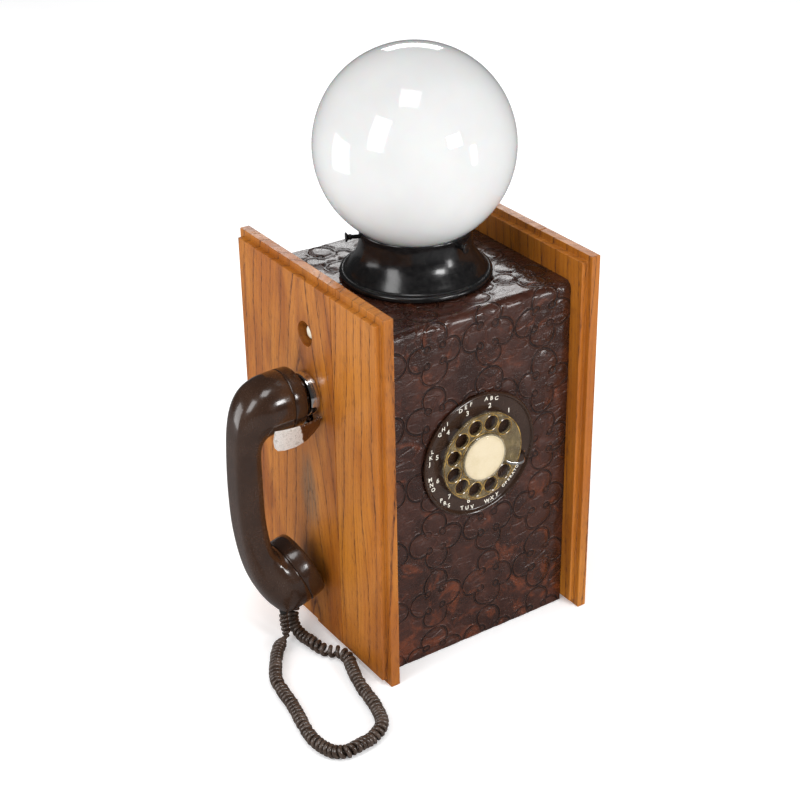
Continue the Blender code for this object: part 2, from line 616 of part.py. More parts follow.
def shell(start, outer, inner):
    """A hollow turned shell, open at its foot, whose two walls each close on the axis."""
    segments = 26
    points = []
    faces = []
    rings = []
    for radius, height in outer + inner:
        if radius <= 0:
            rings.append([len(points)] * segments)
            points.append(start + Vector((0, 0, height)))
            continue
        rings.append(list(range(len(points), len(points) + segments)))
        for k in range(segments):
            turn = 2 * math.pi * k / segments
            points.append(start + Vector((radius * math.cos(turn), radius * math.sin(turn), height)))
    for i in range(len(rings)):
        lower, upper = rings[i], rings[(i + 1) % len(rings)]
        if len(set(lower)) == 1 and len(set(upper)) == 1:
            continue
        for k in range(segments):
            j = (k + 1) % segments
            corners = list(dict.fromkeys((lower[k], lower[j], upper[j], upper[k])))
            faces.append(corners)
    return shape("globe", points, faces, OPAL, origin=(0, LAMP_Y, 0.3164))


def lamp_switch():
    axis = (1, 0, 0)
    origin = (0, 0, BUTTON_Z)
    lathe("lamp_switch_body",
          [(0.0059, -0.0920), (0.0094, -0.0920), (0.0094, -0.0862), (0.0128, -0.0862), (0.0128, -0.0847),
           (0.0094, -0.0847), (0.0094, -0.0640), (0, -0.0640), (0, -0.0830), (0.0059, -0.0830)],
          origin, axis, DARK, 24)
    lathe("lamp_button",
          [(0, -0.0958), (0.0030, -0.0956), (0.0048, -0.0948), (0.0056, -0.0936), (0.0056, -0.0880),
           (0, -0.0880)],
          origin, axis, IVORY, 20)


def ringer():
    frame = box("ringer_frame", (-0.050, 0.012, 0.0123), (0.050, 0.062, 0.0145), STEEL)
    post = box("ringer_post_add", (-0.004, 0.040, 0.0135), (0.004, 0.0425, 0.0680), cutter=True)
    pin = rod("ringer_pin_add", 0.0012, (0, 0.0415, 0.0640), (0, 0.0300, 0.0640), segments=12, cutter=True)
    stud_left = rod("gong_stud_add_left", 0.0022, (-0.030, 0.034, 0.0135), (-0.030, 0.034, 0.0560),
                    segments=12,
                    cutter=True)
    stud_right = rod("gong_stud_add_right", 0.0022, (0.030, 0.034, 0.0135), (0.030, 0.034, 0.0560),
                     segments=12,
                     cutter=True)
    join(frame, post, pin, stud_left, stud_right)
    for name, x in (("gong_left", -0.030), ("gong_right", 0.030)):
        lathe(name,
              [(0.0026, 0.0500), (0.0150, 0.0490), (0.0215, 0.0455), (0.0236, 0.0400), (0.0250, 0.0400),
               (0.0228, 0.0465), (0.0155, 0.0506), (0.0026, 0.0516)],
              (x, 0.034, 0), (0, 0, 1), BRASS, 24)
    clapper = rod("clapper", 0.0010, (0, 0.034, 0.0662), (0, 0.034, 0.0440), STEEL, 10)
    eye = rod("clapper_eye_add", 0.0028, (0, 0.0320, 0.0640), (0, 0.0360, 0.0640), segments=14, cutter=True)
    ball = lathe("clapper_ball_add",
                 [(0, -0.0030), (0.0021, -0.0021), (0.0030, 0), (0.0021, 0.0021), (0, 0.0030)],
                 (0, 0.034, 0.0430), (0, 0, 1), segments=12, cutter=True)
    join(clapper, eye, ball)
    cut(clapper, rod("clapper_eye_cut", 0.0015, (0, 0.03, 0.0640), (0, 0.04, 0.0640), segments=12,
                     cutter=True))
    box("ringer_coil", (-0.018, 0.0450, 0.0148), (0.018, 0.0600, 0.0360), DARK)
    box("network_block", (-0.055, -0.060, 0.0123), (0.005, -0.018, 0.0400), DARK)


COIL_ANCHORS = (
    (-0.1346, -0.0062, 0.0060), (-0.1422, -0.0117, 0.0059), (-0.1512, -0.0215, 0.0058),
    (-0.1611, -0.0370, 0.0058), (-0.1668, -0.0480, 0.0058), (-0.1698, -0.0620, 0.0058),
    (-0.1716, -0.0770, 0.0058), (-0.1748, -0.0945, 0.0058), (-0.1786, -0.1110, 0.0058),
    (-0.1803, -0.1248, 0.0058), (-0.1788, -0.1376, 0.0058), (-0.1748, -0.1470, 0.0058),
    (-0.1686, -0.1515, 0.0058), (-0.1600, -0.1512, 0.0058), (-0.1510, -0.1508, 0.0058),
    (-0.1395, -0.1478, 0.0058), (-0.1292, -0.1410, 0.0058), (-0.1238, -0.1301, 0.0058),
    (-0.1203, -0.1158, 0.0058), (-0.1180, -0.1002, 0.0058), (-0.1150, -0.0850, 0.0058),
    (-0.1110, -0.0710, 0.0060), (-0.1070, -0.0590, 0.0064), (-0.1070, -0.0500, 0.0066),
    (-0.1108, -0.0445, 0.0062), (-0.1155, -0.0385, 0.0059), (-0.1175, -0.0300, 0.0059),
    (-0.1192, -0.0210, 0.0059), (-0.1206, -0.0110, 0.0060), (-0.1210, -0.0020, 0.0075),
    (-0.1205, 0.0045, 0.0130), (-0.1170, 0.0095, 0.0195), (-0.1125, 0.0130, 0.0245),
    (-0.1085, 0.0150, 0.0275),
)
HANDSET_LEAD_ANCHORS = (
    (-0.1310, 0.0000, 0.0310), (-0.1311, 0.0000, 0.0270), (-0.1313, -0.0004, 0.0210),
    (-0.1312, -0.0010, 0.0150), (-0.1308, -0.0020, 0.0100), (-0.1314, -0.0036, 0.0070),
    (-0.1338, -0.0056, 0.0061),
)
WALL_LEAD_ANCHORS = (
    (-0.1078, 0.0153, 0.0280), (-0.1060, 0.0163, 0.0288), (-0.1035, 0.0174, 0.0296),
    (-0.1010, 0.0179, 0.0300), (-0.0950, 0.0180, 0.0300),
)


def cord():
    tube("cord_coil", smooth_route(COIL_ANCHORS, 64), COIL_RADIUS, CORD, 2)
    tube("cord_lead_handset", smooth_route(HANDSET_LEAD_ANCHORS, 12), WIRE_RADIUS, CORD, 2)
    tube("cord_lead_wall", smooth_route(WALL_LEAD_ANCHORS, 7), WIRE_RADIUS, CORD, 2)
    lathe("cord_grommet",
          [(0.0022, 0), (0.0057, 0), (0.0057, 0.0133), (0.0078, 0.0133), (0.0078, 0.0143), (0.0066, 0.0155),
           (0.0022, 0.0155)],
          (LEFT_INNER, GROMMET_Y, GROMMET_Z), (-1, 0, 0), RUBBER, 20)


def main():
    side_panels()
    body_boards()
    leather()
    chamfer_top_board()
    dial()
    handset()
    hook()
    lamp()
    lamp_switch()
    ringer()
    cord()


main()
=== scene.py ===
import json
import math

import bmesh
import bpy
from mathutils import Matrix, Vector, noise


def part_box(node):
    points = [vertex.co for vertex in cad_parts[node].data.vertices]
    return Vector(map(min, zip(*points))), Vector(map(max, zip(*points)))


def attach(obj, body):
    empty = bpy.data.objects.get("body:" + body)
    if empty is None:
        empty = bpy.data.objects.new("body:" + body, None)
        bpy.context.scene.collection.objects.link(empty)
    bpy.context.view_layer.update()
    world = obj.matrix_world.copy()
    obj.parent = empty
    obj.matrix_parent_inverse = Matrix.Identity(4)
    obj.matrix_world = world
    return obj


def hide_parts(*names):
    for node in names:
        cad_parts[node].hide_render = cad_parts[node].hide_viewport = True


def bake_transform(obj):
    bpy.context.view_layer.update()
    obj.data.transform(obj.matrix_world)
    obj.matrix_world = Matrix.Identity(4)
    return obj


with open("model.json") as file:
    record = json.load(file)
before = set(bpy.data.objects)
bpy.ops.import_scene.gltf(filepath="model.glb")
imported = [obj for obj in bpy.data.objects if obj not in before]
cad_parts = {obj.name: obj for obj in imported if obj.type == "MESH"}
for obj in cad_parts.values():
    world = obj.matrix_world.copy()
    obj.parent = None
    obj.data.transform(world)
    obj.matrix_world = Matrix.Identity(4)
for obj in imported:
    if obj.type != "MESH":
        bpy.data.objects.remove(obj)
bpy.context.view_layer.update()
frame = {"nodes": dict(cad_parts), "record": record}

NODES = frame["nodes"]
RECORD = frame["record"]
SLOT_OF = {part["node"]: part["material_slot"] for part in RECORD["subparts"]}
BODY_OF = {node: body for body, nodes in RECORD["behaviour"]["bodies"].items() for node in nodes}


# ---------------------------------------------------------------- placing pieces

def place(obj, *nodes):
    """The piece rides on its nodes' body and stands for them."""
    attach(obj, BODY_OF[nodes[0]])
    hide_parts(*nodes)
    return obj


def add(obj, node):
    """The piece is extra detail that rides with a node."""
    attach(obj, BODY_OF[node])
    return obj


def piece(name, points, faces, finish, smooth=True, sharp=35):
    mesh = bpy.data.meshes.new(name)
    mesh.from_pydata([tuple(p) for p in points], [], faces)
    edit = bmesh.new()
    edit.from_mesh(mesh)
    bmesh.ops.recalc_face_normals(edit, faces=edit.faces)
    edit.to_mesh(mesh)
    edit.free()
    if smooth:
        mesh.shade_smooth()
        mesh.set_sharp_from_angle(angle=math.radians(sharp))
    mesh.materials.append(finish)
    obj = bpy.data.objects.new(name, mesh)
    bpy.context.scene.collection.objects.link(obj)
    return obj


def lathe(name, profile, origin, axis, finish, segments=96, sharp=35):
    """A profile of (radius, height) turned about an axis."""
    start = Vector(origin)
    up = Vector(axis).normalized()
    side = Vector((0, 1, 0)) if abs(up.y) < 0.9 else Vector((1, 0, 0))
    side = (side - up * side.dot(up)).normalized()
    other = up.cross(side)
    points = []
    rings = []
    for radius, height in profile:
        if radius <= 0:
            rings.append([len(points)] * segments)
            points.append(start + up * height)
            continue
        rings.append(list(range(len(points), len(points) + segments)))
        for k in range(segments):
            turn = 2 * math.pi * k / segments
            points.append(start + up * height + (side * math.cos(turn) + other * math.sin(turn)) * radius)
    closed = not (profile[0][0] <= 0 and profile[-1][0] <= 0)
    faces = []
    for lower, upper in zip(rings, rings[1:] + (rings[:1] if closed else [])):
        for k in range(segments):
            j = (k + 1) % segments
            corners = list(dict.fromkeys((lower[k], lower[j], upper[j], upper[k])))
            if len(corners) > 2:
                faces.append(corners)
    return piece(name, points, faces, finish, sharp=sharp)


def loft(name, rings, finish, sharp=35, closed_ends=True):
    count = len(rings[0])
    points = [p for ring in rings for p in ring]
    faces = [tuple(range(count)), tuple(range(len(points) - count, len(points)))] if closed_ends else []
    for i in range(len(rings) - 1):
        for k in range(count):
            j = (k + 1) % count
            faces.append((i * count + k, i * count + j, (i + 1) * count + j, (i + 1) * count + k))
    return piece(name, points, faces, finish, sharp=sharp)


def soften(node, finish, width=0.0004, segments=2, sharp=32, replace=True):
    """A copy of a node's shape with its flat faces made whole and its edges rounded."""
    edit = bmesh.new()
    edit.from_mesh(NODES[node].data)
    bmesh.ops.remove_doubles(edit, verts=edit.verts, dist=1e-6)
    bmesh.ops.dissolve_limit(edit, angle_limit=math.radians(1.0), verts=edit.verts, edges=edit.edges)
    mesh = bpy.data.meshes.new(node + "_detail")
    edit.to_mesh(mesh)
    edit.free()
    mesh.shade_smooth()
    mesh.materials.append(finish)
    obj = bpy.data.objects.new(node + "_detail", mesh)
    bpy.context.scene.collection.objects.link(obj)
    bevel = obj.modifiers.new("edge", "BEVEL")
    bevel.width = width
    bevel.segments = segments
    bevel.limit_method = "ANGLE"
    bevel.angle_limit = math.radians(sharp)
    bevel.harden_normals = True
    mesh.set_sharp_from_angle(angle=math.radians(sharp))
    settle(obj)
    return place(obj, node) if replace else obj


def settle(obj):
    """Applies the piece's modifiers."""
    graph = bpy.context.evaluated_depsgraph_get()
    mesh = bpy.data.meshes.new_from_object(obj.evaluated_get(graph))
    obj.modifiers.clear()
    obj.data = mesh
    return obj


def spline(values, steps):
    """Rows of numbers read smoothly between the ones given."""
    rows = [values[0]] + list(values) + [values[-1]]
    out = []
    for a, b, c, d in zip(rows, rows[1:], rows[2:], rows[3:]):
        for k in range(steps):
            t = k / steps
            out.append([
                0.5 * (2 * q + (r - p) * t + (2 * p - 5 * q + 4 * r - s) * t**2 + (3 * q - p - 3 * r + s) * t**3)
                for p, q, r, s in zip(a, b, c, d)
            ])
    out.append(list(values[-1]))
    return out


# ---------------------------------------------------------------- materials

class Value:
    """A number or vector in a material's graph, with the usual operators."""

    def __init__(self, graph, socket):
        self.graph = graph
        self.socket = socket

    def math(self, operation, other=None, third=None):
        node = self.graph.node("Math", operation=operation)
        self.graph.feed(node.inputs[0], self)
        if other is not None:
            self.graph.feed(node.inputs[1], other)
        if third is not None:
            self.graph.feed(node.inputs[2], third)
        return Value(self.graph, node.outputs[0])

    def __add__(self, other):
        return self.math("ADD", other)

    def __sub__(self, other):
        return self.math("SUBTRACT", other)

    def __mul__(self, other):
        return self.math("MULTIPLY", other)

    def __truediv__(self, other):
        return self.math("DIVIDE", other)

    def __neg__(self):
        return self.math("MULTIPLY", -1.0)

    def __abs__(self):
        return self.math("ABSOLUTE")

    def squared(self):
        return self.math("MULTIPLY", self)

    def root(self):
        return self.math("SQRT")

    def least(self, other):
        return self.math("MINIMUM", other)

    def most(self, other):
        return self.math("MAXIMUM", other)

    def band(self, low, high, start=0.0, end=1.0):
        node = self.graph.node("MapRange", interpolation_type="SMOOTHSTEP")
        for socket, value in zip(node.inputs[:5], (self, low, high, start, end)):
            self.graph.feed(socket, value)
        return Value(self.graph, node.outputs[0])


class Graph:
    """A material with short ways to add nodes to it."""

    def __init__(self, name, **fixed):
        self.material = bpy.data.materials.new(name)
        self.material.use_nodes = True
        self.nodes = self.material.node_tree.nodes
        self.links = self.material.node_tree.links
        self.shader = self.nodes["Principled BSDF"]
        for key, value in fixed.items():
            self.shader.inputs[key.replace("_", " ")].default_value = value

    def node(self, kind, **settings):
        made = self.nodes.new("ShaderNode" + kind)
        for key, value in settings.items():
            setattr(made, key, value)
        return made

    def feed(self, socket, value):
        if isinstance(value, Value):
            self.links.new(value.socket, socket)
        else:
            socket.default_value = value

    def where(self):
        return Value(self, self.node("TexCoord").outputs["Object"])

    def uv(self):
        return Value(self, self.node("UVMap").outputs[0])

    def split(self, vector):
        node = self.node("SeparateXYZ")
        self.feed(node.inputs[0], vector)
        return [Value(self, out) for out in node.outputs]

    def combine(self, x, y, z):
        node = self.node("CombineXYZ")
        for socket, value in zip(node.inputs, (x, y, z)):
            self.feed(socket, value)
        return Value(self, node.outputs[0])

    def scaled(self, vector, scale):
        node = self.node("VectorMath", operation="MULTIPLY")
        self.feed(node.inputs[0], vector)
        self.feed(node.inputs[1], scale)
        return Value(self, node.outputs[0])

    def shifted(self, vector, by):
        node = self.node("VectorMath", operation="ADD")
        self.feed(node.inputs[0], vector)
        self.feed(node.inputs[1], by)
        return Value(self, node.outputs[0])

    def noise(self, vector, scale, detail=3.0, roughness=0.55, distortion=0.0):
        node = self.node("TexNoise")
        self.feed(node.inputs["Vector"], vector)
        for key, value in (("Scale", scale), ("Detail", detail), ("Roughness", roughness), ("Distortion", distortion)):
            self.feed(node.inputs[key], value)
        return Value(self, node.outputs["Fac"])

    def cells(self, vector, scale, feature="F1", spread=1.0):
        node = self.node("TexVoronoi", feature=feature)
        self.feed(node.inputs["Vector"], vector)
        self.feed(node.inputs["Scale"], scale)
        self.feed(node.inputs["Randomness"], spread)
        return Value(self, node.outputs["Distance"])

    def mix(self, share, first, second, blend="MIX"):
        node = self.node("Mix", data_type="RGBA", blend_type=blend)
        sockets = [s for s in node.inputs if s.enabled]
        for socket, value in zip(sockets, (share, self.tone(first), self.tone(second))):
            self.feed(socket, value)
        return Value(self, next(s for s in node.outputs if s.enabled))

    def tone(self, colour):
        return colour if isinstance(colour, Value) else (*colour, 1.0)

    def bump(self, height, distance, strength=1.0, under=None):
        node = self.node("Bump")
        self.feed(node.inputs["Height"], height)
        self.feed(node.inputs["Distance"], distance)
        self.feed(node.inputs["Strength"], strength)
        if under is not None:
            self.feed(node.inputs["Normal"], under)
        return Value(self, node.outputs[0])

    def finish(self, colour=None, roughness=None, normal=None):
        for key, value in (("Base Color", colour), ("Roughness", roughness), ("Normal", normal)):
            if value is not None:
                self.feed(self.shader.inputs[key], value)
        return self.material


def scuffs(graph, scale=1.0):
    """Fine crossing scratches, 0 to 1, for glossy surfaces."""
    where = graph.where()
    along = graph.noise(graph.scaled(where, (90 * scale, 1400 * scale, 1400 * scale)), 1.0, 2.0)
    across = graph.noise(graph.scaled(where, (1300 * scale, 1300 * scale, 80 * scale)), 1.0, 2.0)
    return along.most(across).band(0.62, 0.74)


HONEY = (0.470, 0.170, 0.0200)
AMBER = (0.350, 0.103, 0.0095)
RUSSET = (0.200, 0.048, 0.0062)
UMBER = (0.095, 0.0240, 0.0060)
PORE = (0.050, 0.013, 0.0045)


def oak(name, heart, spacing, slope, seed, reds=0.4, handset_shadow_at=None):
    """Flat-sawn stained oak: open-pored growth lines about a heart, its place given as (y, x, z)."""
    g = Graph(name, Coat_Weight=0.12, Coat_Roughness=0.16, Specular_IOR_Level=0.35)
    where = g.shifted(g.where(), (seed * 0.37, seed * 0.61, seed * 0.83))
    x, y, z = g.split(g.where())
    slow = g.noise(g.scaled(where, (13, 13, 3.2)), 1.0, 2.0) - 0.5
    quick = g.noise(g.scaled(where, (85, 85, 17)), 1.0, 3.0) - 0.5
    side = y - heart[0] + slow * 0.034
    ring = (side.squared() + (x - heart[1]).squared()).root() + (z - heart[2]) * slope + quick * 0.0042
    turn = (ring / spacing + (slow - quick * 0.6) * 0.5).math("FRACT")
    line = turn.band(0.0, 0.03) * (turn.band(0.05, 0.13, 0.72, 0.0) + turn.band(0.06, 0.42, 0.28, 0.0))
    small = (ring / (spacing * 0.31) + 0.4).math("FRACT")
    hair = small.band(0.0, 0.10) * small.band(0.15, 0.6, 1.0, 0.0)
    fade = g.noise(g.scaled(where, (34, 34, 8)), 1.0, 3.0).band(0.28, 0.55, 0.40, 1.0)
    dashes = g.noise(g.scaled(where, (1500, 1500, 150)), 1.0, 2.0)
    ragged = dashes.band(0.38, 0.56, 0.40, 1.0)
    line = line * fade * ragged
    hair = hair * fade.band(0.3, 1.0, 1.0, 0.4)
    pores = dashes.band(0.575, 0.66) * (line * 1.2 + hair * 0.5 + 0.25)
    cloud = g.noise(g.scaled(where, (16, 16, 5)), 1.0, 3.0)
    fleck = g.noise(g.scaled(where, (420, 420, 9)), 1.0, 3.0)
    colour = g.mix(cloud.band(0.36, 0.66), HONEY, AMBER)
    colour = g.mix(g.noise(g.scaled(where, (30, 30, 6.5)), 1.0, 3.0).band(0.52, 0.70, 0.0, reds), colour, RUSSET)
    colour = g.mix(fleck.band(0.40, 0.72, 0.0, 0.50), colour, AMBER)
    colour = g.mix(hair * 0.34, colour, RUSSET)
    colour = g.mix(line * 0.86, colour, UMBER)
    # Greyish-brown patch on the board behind the handset's handle: painted shadow of the handset.
    if handset_shadow_at:
        reach = (((y - handset_shadow_at[0]) / 0.016).squared() + ((z - handset_shadow_at[1]) / 0.038).squared()).root() + quick * 1.2
        painted_handset_shadow = reach.band(0.30, 1.20, 0.78, 0.0) * fleck.band(0.35, 0.65, 0.55, 1.0)
        colour = g.mix(painted_handset_shadow, colour, (0.195, 0.115, 0.058))
    colour = g.mix(pores.least(1.0) * 0.80, colour, PORE)
    grime = g.noise(g.scaled(where, (60, 60, 60)), 1.0, 4.0).band(0.60, 0.78, 0.0, 0.25)
    colour = g.mix(grime, colour, UMBER)
    roughness = g.noise(g.scaled(where, (70, 70, 30)), 1.0, 3.0).band(0.3, 0.7, 0.30, 0.44)
    return g.finish(colour, roughness + pores * 0.2, g.bump(pores * -1.0 - line * 0.4, 0.0004, 0.6))


FIGURE_AT = (0.010, 0.270)
FIGURE_STEP = (0.051, 0.0544)
LOBES = ((0.0138, 0.0, 0.0108), (0.0, 0.0149, 0.0112), (0.0, 0.0, 0.0088))
CURL = (0.0070, 0.0075, 0.0025)


def tooled_leather():
    """Dark antiqued hide pressed with four-lobed figures whose lines curl inward where the lobes meet."""
    g = Graph("tooled_leather_look", Coat_Weight=0.45, Coat_Roughness=0.11, Specular_IOR_Level=0.35)
    flat = g.uv()
    drift = g.noise(g.scaled(flat, (34, 34, 34)), 1.0, 2.0)
    u, v, _ = g.split(flat)
    a = abs((u - (FIGURE_AT[0] - FIGURE_STEP[0] / 2)).math("FLOORED_MODULO", FIGURE_STEP[0]) - FIGURE_STEP[0] / 2)
    b = abs((v - (FIGURE_AT[1] - FIGURE_STEP[1] / 2)).math("FLOORED_MODULO", FIGURE_STEP[1]) - FIGURE_STEP[1] / 2)

    def round_at(ca, cb, radius):
        return ((a - ca).squared() + (b - cb).squared()).root() - radius

    across, along, middle = (round_at(*lobe) for lobe in LOBES)
    lobes = across.least(along).least(middle)
    curls = abs(round_at(*CURL)) + lobes.band(-0.0010, 0.0006, 0.0, 0.01)
    line = abs(lobes).least(curls)
    press = g.noise(g.scaled(flat, (95, 95, 95)), 1.0, 2.0).band(0.30, 0.62, 0.30, 1.0)
    groove = line.band(0.00025, 0.00120, 1.0, 0.0) * press
    shoulder = line.band(0.0009, 0.0024, 1.0, 0.0) * press - groove
    creases = g.cells(g.scaled(g.shifted(flat, (0.3, 0.1, 0)), (1.0, 1.6, 1.0)), 62.0, "DISTANCE_TO_EDGE")
    crease = creases.band(0.0, 0.12, 1.0, 0.0) * drift.band(0.42, 0.60)
    pull = g.noise(g.scaled(flat, (60, 260, 1)), 1.0, 3.0, 0.6, 1.6)
    swell = g.noise(g.scaled(flat, (80, 80, 1)), 1.0, 3.0, 0.55, 0.8)
    grain = g.cells(flat, 900.0)
    pits = g.noise(flat, 420.0, 3.0)
    mottle = g.noise(g.scaled(flat, (24, 24, 24)), 1.0, 5.0, 0.62, 0.6)
    blotch = g.noise(g.shifted(g.scaled(flat, (48, 48, 48)), (2.0, 9.0, 0)), 1.0, 4.0, 0.6, 0.8)
    low = v.band(0.02, 0.10, 0.10, 0.0)
    colour = g.mix(mottle.band(0.38, 0.68), (0.023, 0.0072, 0.0040), (0.056, 0.0165, 0.0085))
    colour = g.mix((blotch + low).band(0.56, 0.74, 0.0, 0.80), colour, (0.150, 0.034, 0.0095))
    # Lighter tan along the groove shoulders: partly wear, partly painted highlight.
    colour = g.mix(shoulder * 0.30, colour, (0.16, 0.060, 0.030))
    colour = g.mix(groove * 0.70, colour, (0.010, 0.0030, 0.0022))
    colour = g.mix(crease * 0.30, colour, (0.10, 0.032, 0.018))
    colour = g.mix(grain.band(0.2, 0.9, 0.0, 0.35), colour, (0.028, 0.0080, 0.0052))
    height = shoulder * 0.45 - groove * 1.10 - crease * 0.32 + pull * 0.32 + swell * 0.60
    fine = g.bump(grain * -0.7 + pits * 0.6, 0.00018, 0.6)
    normal = g.bump(height, 0.0019, 1.0, under=fine)
    roughness = mottle.band(0.3, 0.7, 0.22, 0.34) + groove * 0.2 + pits.band(0.4, 0.7, 0.0, 0.06)
    return g.finish(colour, roughness, normal)


def gloss_plastic(name, light, dark, rough=(0.13, 0.27)):
    g = Graph(name, Specular_IOR_Level=0.5, Coat_Weight=0.35, Coat_Roughness=0.06)
    where = g.where()
    marks = scuffs(g)
    cloud = g.noise(g.scaled(where, (45, 45, 45)), 1.0, 4.0)
    dust = g.noise(where, 1500.0, 2.0).band(0.70, 0.76)
    colour = g.mix(cloud.band(0.35, 0.7), dark, light)
    colour = g.mix(dust * 0.25, colour, (0.30, 0.24, 0.19))
    colour = g.mix(marks * 0.04, colour, (0.20, 0.15, 0.12))
    roughness = cloud.band(0.3, 0.7, rough[0], rough[1]) + marks * 0.10 + dust * 0.25
    moulded = g.noise(where, 130.0, 3.0)
    return g.finish(colour, roughness, g.bump(moulded * 0.8 + marks * -0.1, 0.0004, 0.10))


def matt_plastic(name, light, dark):
    g = Graph(name)
    where = g.where()
    spark = g.noise(where, 900.0, 3.0)
    cloud = g.noise(where, 60.0, 3.0)
    colour = g.mix(cloud.band(0.35, 0.7), dark, light)
    return g.finish(colour, cloud.band(0.3, 0.7, 0.38, 0.55), g.bump(spark, 0.0002, 0.25))


def metal(name, light, dark, rough=(0.05, 0.16), brushed=0.0):
    g = Graph(name, Metallic=1.0)
    where = g.where()
    cloud = g.noise(where, 160.0, 4.0, 0.6)
    marks = scuffs(g, 0.8)
    pits = g.cells(where, 520.0).band(0.0, 0.12, 1.0, 0.0) * cloud.band(0.5, 0.65)
    colour = g.mix(cloud.band(0.35, 0.75), light, dark)
    colour = g.mix(pits * 0.6, colour, (0.12, 0.08, 0.05))
    lines = g.noise(g.scaled(where, (40, 2200, 2200)), 1.0, 2.0)
    roughness = cloud.band(0.3, 0.75, rough[0], rough[1]) + marks * 0.08 + pits * 0.3
    height = lines * brushed + marks * 0.15 + cloud * 0.25
    return g.finish(colour, roughness, g.bump(height, 0.0002, 0.16))


def cradle_wear_and_reflection():
    """Plating gone cloudy and crazed towards the tips of the cradle; nearer the panel the metal is painted dark brown,
    a painted reflection of the wood.
    """
    g = Graph("cradle_wear_and_reflection")
    where = g.where()
    x, y, z = g.split(where)
    cloud = g.noise(where, 210.0, 4.0, 0.6)
    craze = g.cells(where, 620.0, "DISTANCE_TO_EDGE").band(0.0, 0.09, 1.0, 0.0)
    tip = (x * -1.0 + z * -0.35 + (cloud - 0.5) * 0.004).band(0.0480, 0.0500)
    # Dark brown metal away from the tips: painted reflection of the wood. Pale tips: worn, cloudy plating.
    colour = g.mix(tip, (0.24, 0.19, 0.16), (0.84, 0.83, 0.80))
    colour = g.mix(craze * tip * 0.45, colour, (0.22, 0.20, 0.17))
    colour = g.mix(cloud.band(0.56, 0.70, 0.0, 0.45), colour, (0.24, 0.21, 0.17))
    g.feed(g.shader.inputs["Metallic"], tip.band(0.0, 1.0, 1.0, 0.25))
    return g.finish(colour, tip.band(0.0, 1.0, 0.10, 0.34), g.bump(craze * -1.0 + cloud, 0.0002, 0.35))


def black_enamel():
    g = Graph("black_enamel", Coat_Weight=0.15, Coat_Roughness=0.10)
    where = g.where()
    peel = g.noise(where, 260.0, 2.0)
    dust = g.noise(where, 2000.0, 2.0).band(0.74, 0.78)
    marks = scuffs(g, 0.6)
    colour = g.mix(peel.band(0.35, 0.7), (0.0055, 0.0053, 0.0056), (0.011, 0.0105, 0.0105))
    colour = g.mix(dust * 0.30, colour, (0.22, 0.20, 0.18))
    roughness = peel.band(0.3, 0.7, 0.20, 0.24) + dust * 0.3 + marks * 0.04
    return g.finish(colour, roughness, g.bump(peel + marks * 0.3, 0.0003, 0.10))


def opal_glass():
    g = Graph("opal_glass_look", Subsurface_Weight=0.25, Subsurface_Scale=0.010, Coat_Weight=0.5,
              Coat_Roughness=0.03, Specular_IOR_Level=0.25)
    where = g.where()
    milk = g.noise(where, 16.0, 3.0)
    film = g.noise(where, 70.0, 5.0, 0.6)
    seeds = g.cells(where, 95.0).band(0.0, 0.035, 1.0, 0.0)
    colour = g.mix(milk.band(0.3, 0.7), (0.585, 0.583, 0.583), (0.620, 0.617, 0.613))
    colour = g.mix(seeds * 0.12, colour, (0.60, 0.58, 0.55))
    x, y, z = g.split(where)
    # Warmer, lighter tint at the globe's foot: painted reflection of the wood below.
    foot = z.band(0.322, 0.345, 1.0, 0.0)
    colour = g.mix(foot * film.band(0.3, 0.7, 0.25, 0.6), colour, (0.66, 0.62, 0.56))
    return g.finish(colour, film.band(0.35, 0.75, 0.06, 0.14), g.bump(milk, 0.0012, 0.12))


def hazy_acrylic(name, light, dark, alpha):
    """Old clear plastic laid over what is behind it as a thin haze with its own gloss and scratches."""
    g = Graph(name, Alpha=alpha, Coat_Weight=0.6, Coat_Roughness=0.05)
    where = g.where()
    marks = scuffs(g, 1.1)
    cloud = g.noise(where, 140.0, 4.0, 0.6)
    colour = g.mix(cloud.band(0.36, 0.68), dark, light)
    colour = g.mix(marks * 0.45, colour, (0.62, 0.54, 0.36))
    return g.finish(colour, cloud.band(0.35, 0.75, 0.08, 0.20) + marks * 0.25, g.bump(marks + cloud, 0.0002, 0.3))


def amber_edges():
    """The yellowed edges of the clear wheel, where they gather the light."""
    g = Graph("amber_edges", Coat_Weight=0.5, Coat_Roughness=0.08)
    where = g.where()
    cloud = g.noise(where, 260.0, 4.0, 0.6)
    broad = g.noise(where, 75.0, 2.0)
    colour = g.mix(cloud.band(0.36, 0.62), (0.13, 0.070, 0.018), (0.52, 0.33, 0.085))
    colour = g.mix(broad.band(0.42, 0.60, 0.70, 0.0), colour, (0.085, 0.048, 0.016))
    return g.finish(colour, cloud.band(0.3, 0.7, 0.14, 0.28), g.bump(cloud, 0.0002, 0.3))


def paper_card():
    g = Graph("aged_card", Specular_IOR_Level=0.3)
    where = g.where()
    x, y, z = g.split(where)
    reach = (x.squared() + (z - 0.172).squared()).root()
    fibre = g.noise(where, 700.0, 4.0)
    stain = g.noise(where, 90.0, 4.0)
    colour = g.mix(stain.band(0.45, 0.75, 0.0, 0.5), (0.72, 0.62, 0.43), (0.60, 0.48, 0.29))
    colour = g.mix(reach.band(0.0150, 0.0187, 0.0, 0.55), colour, (0.48, 0.35, 0.17))
    return g.finish(colour, fibre.band(0.3, 0.7, 0.55, 0.75), g.bump(fibre, 0.0001, 0.3))


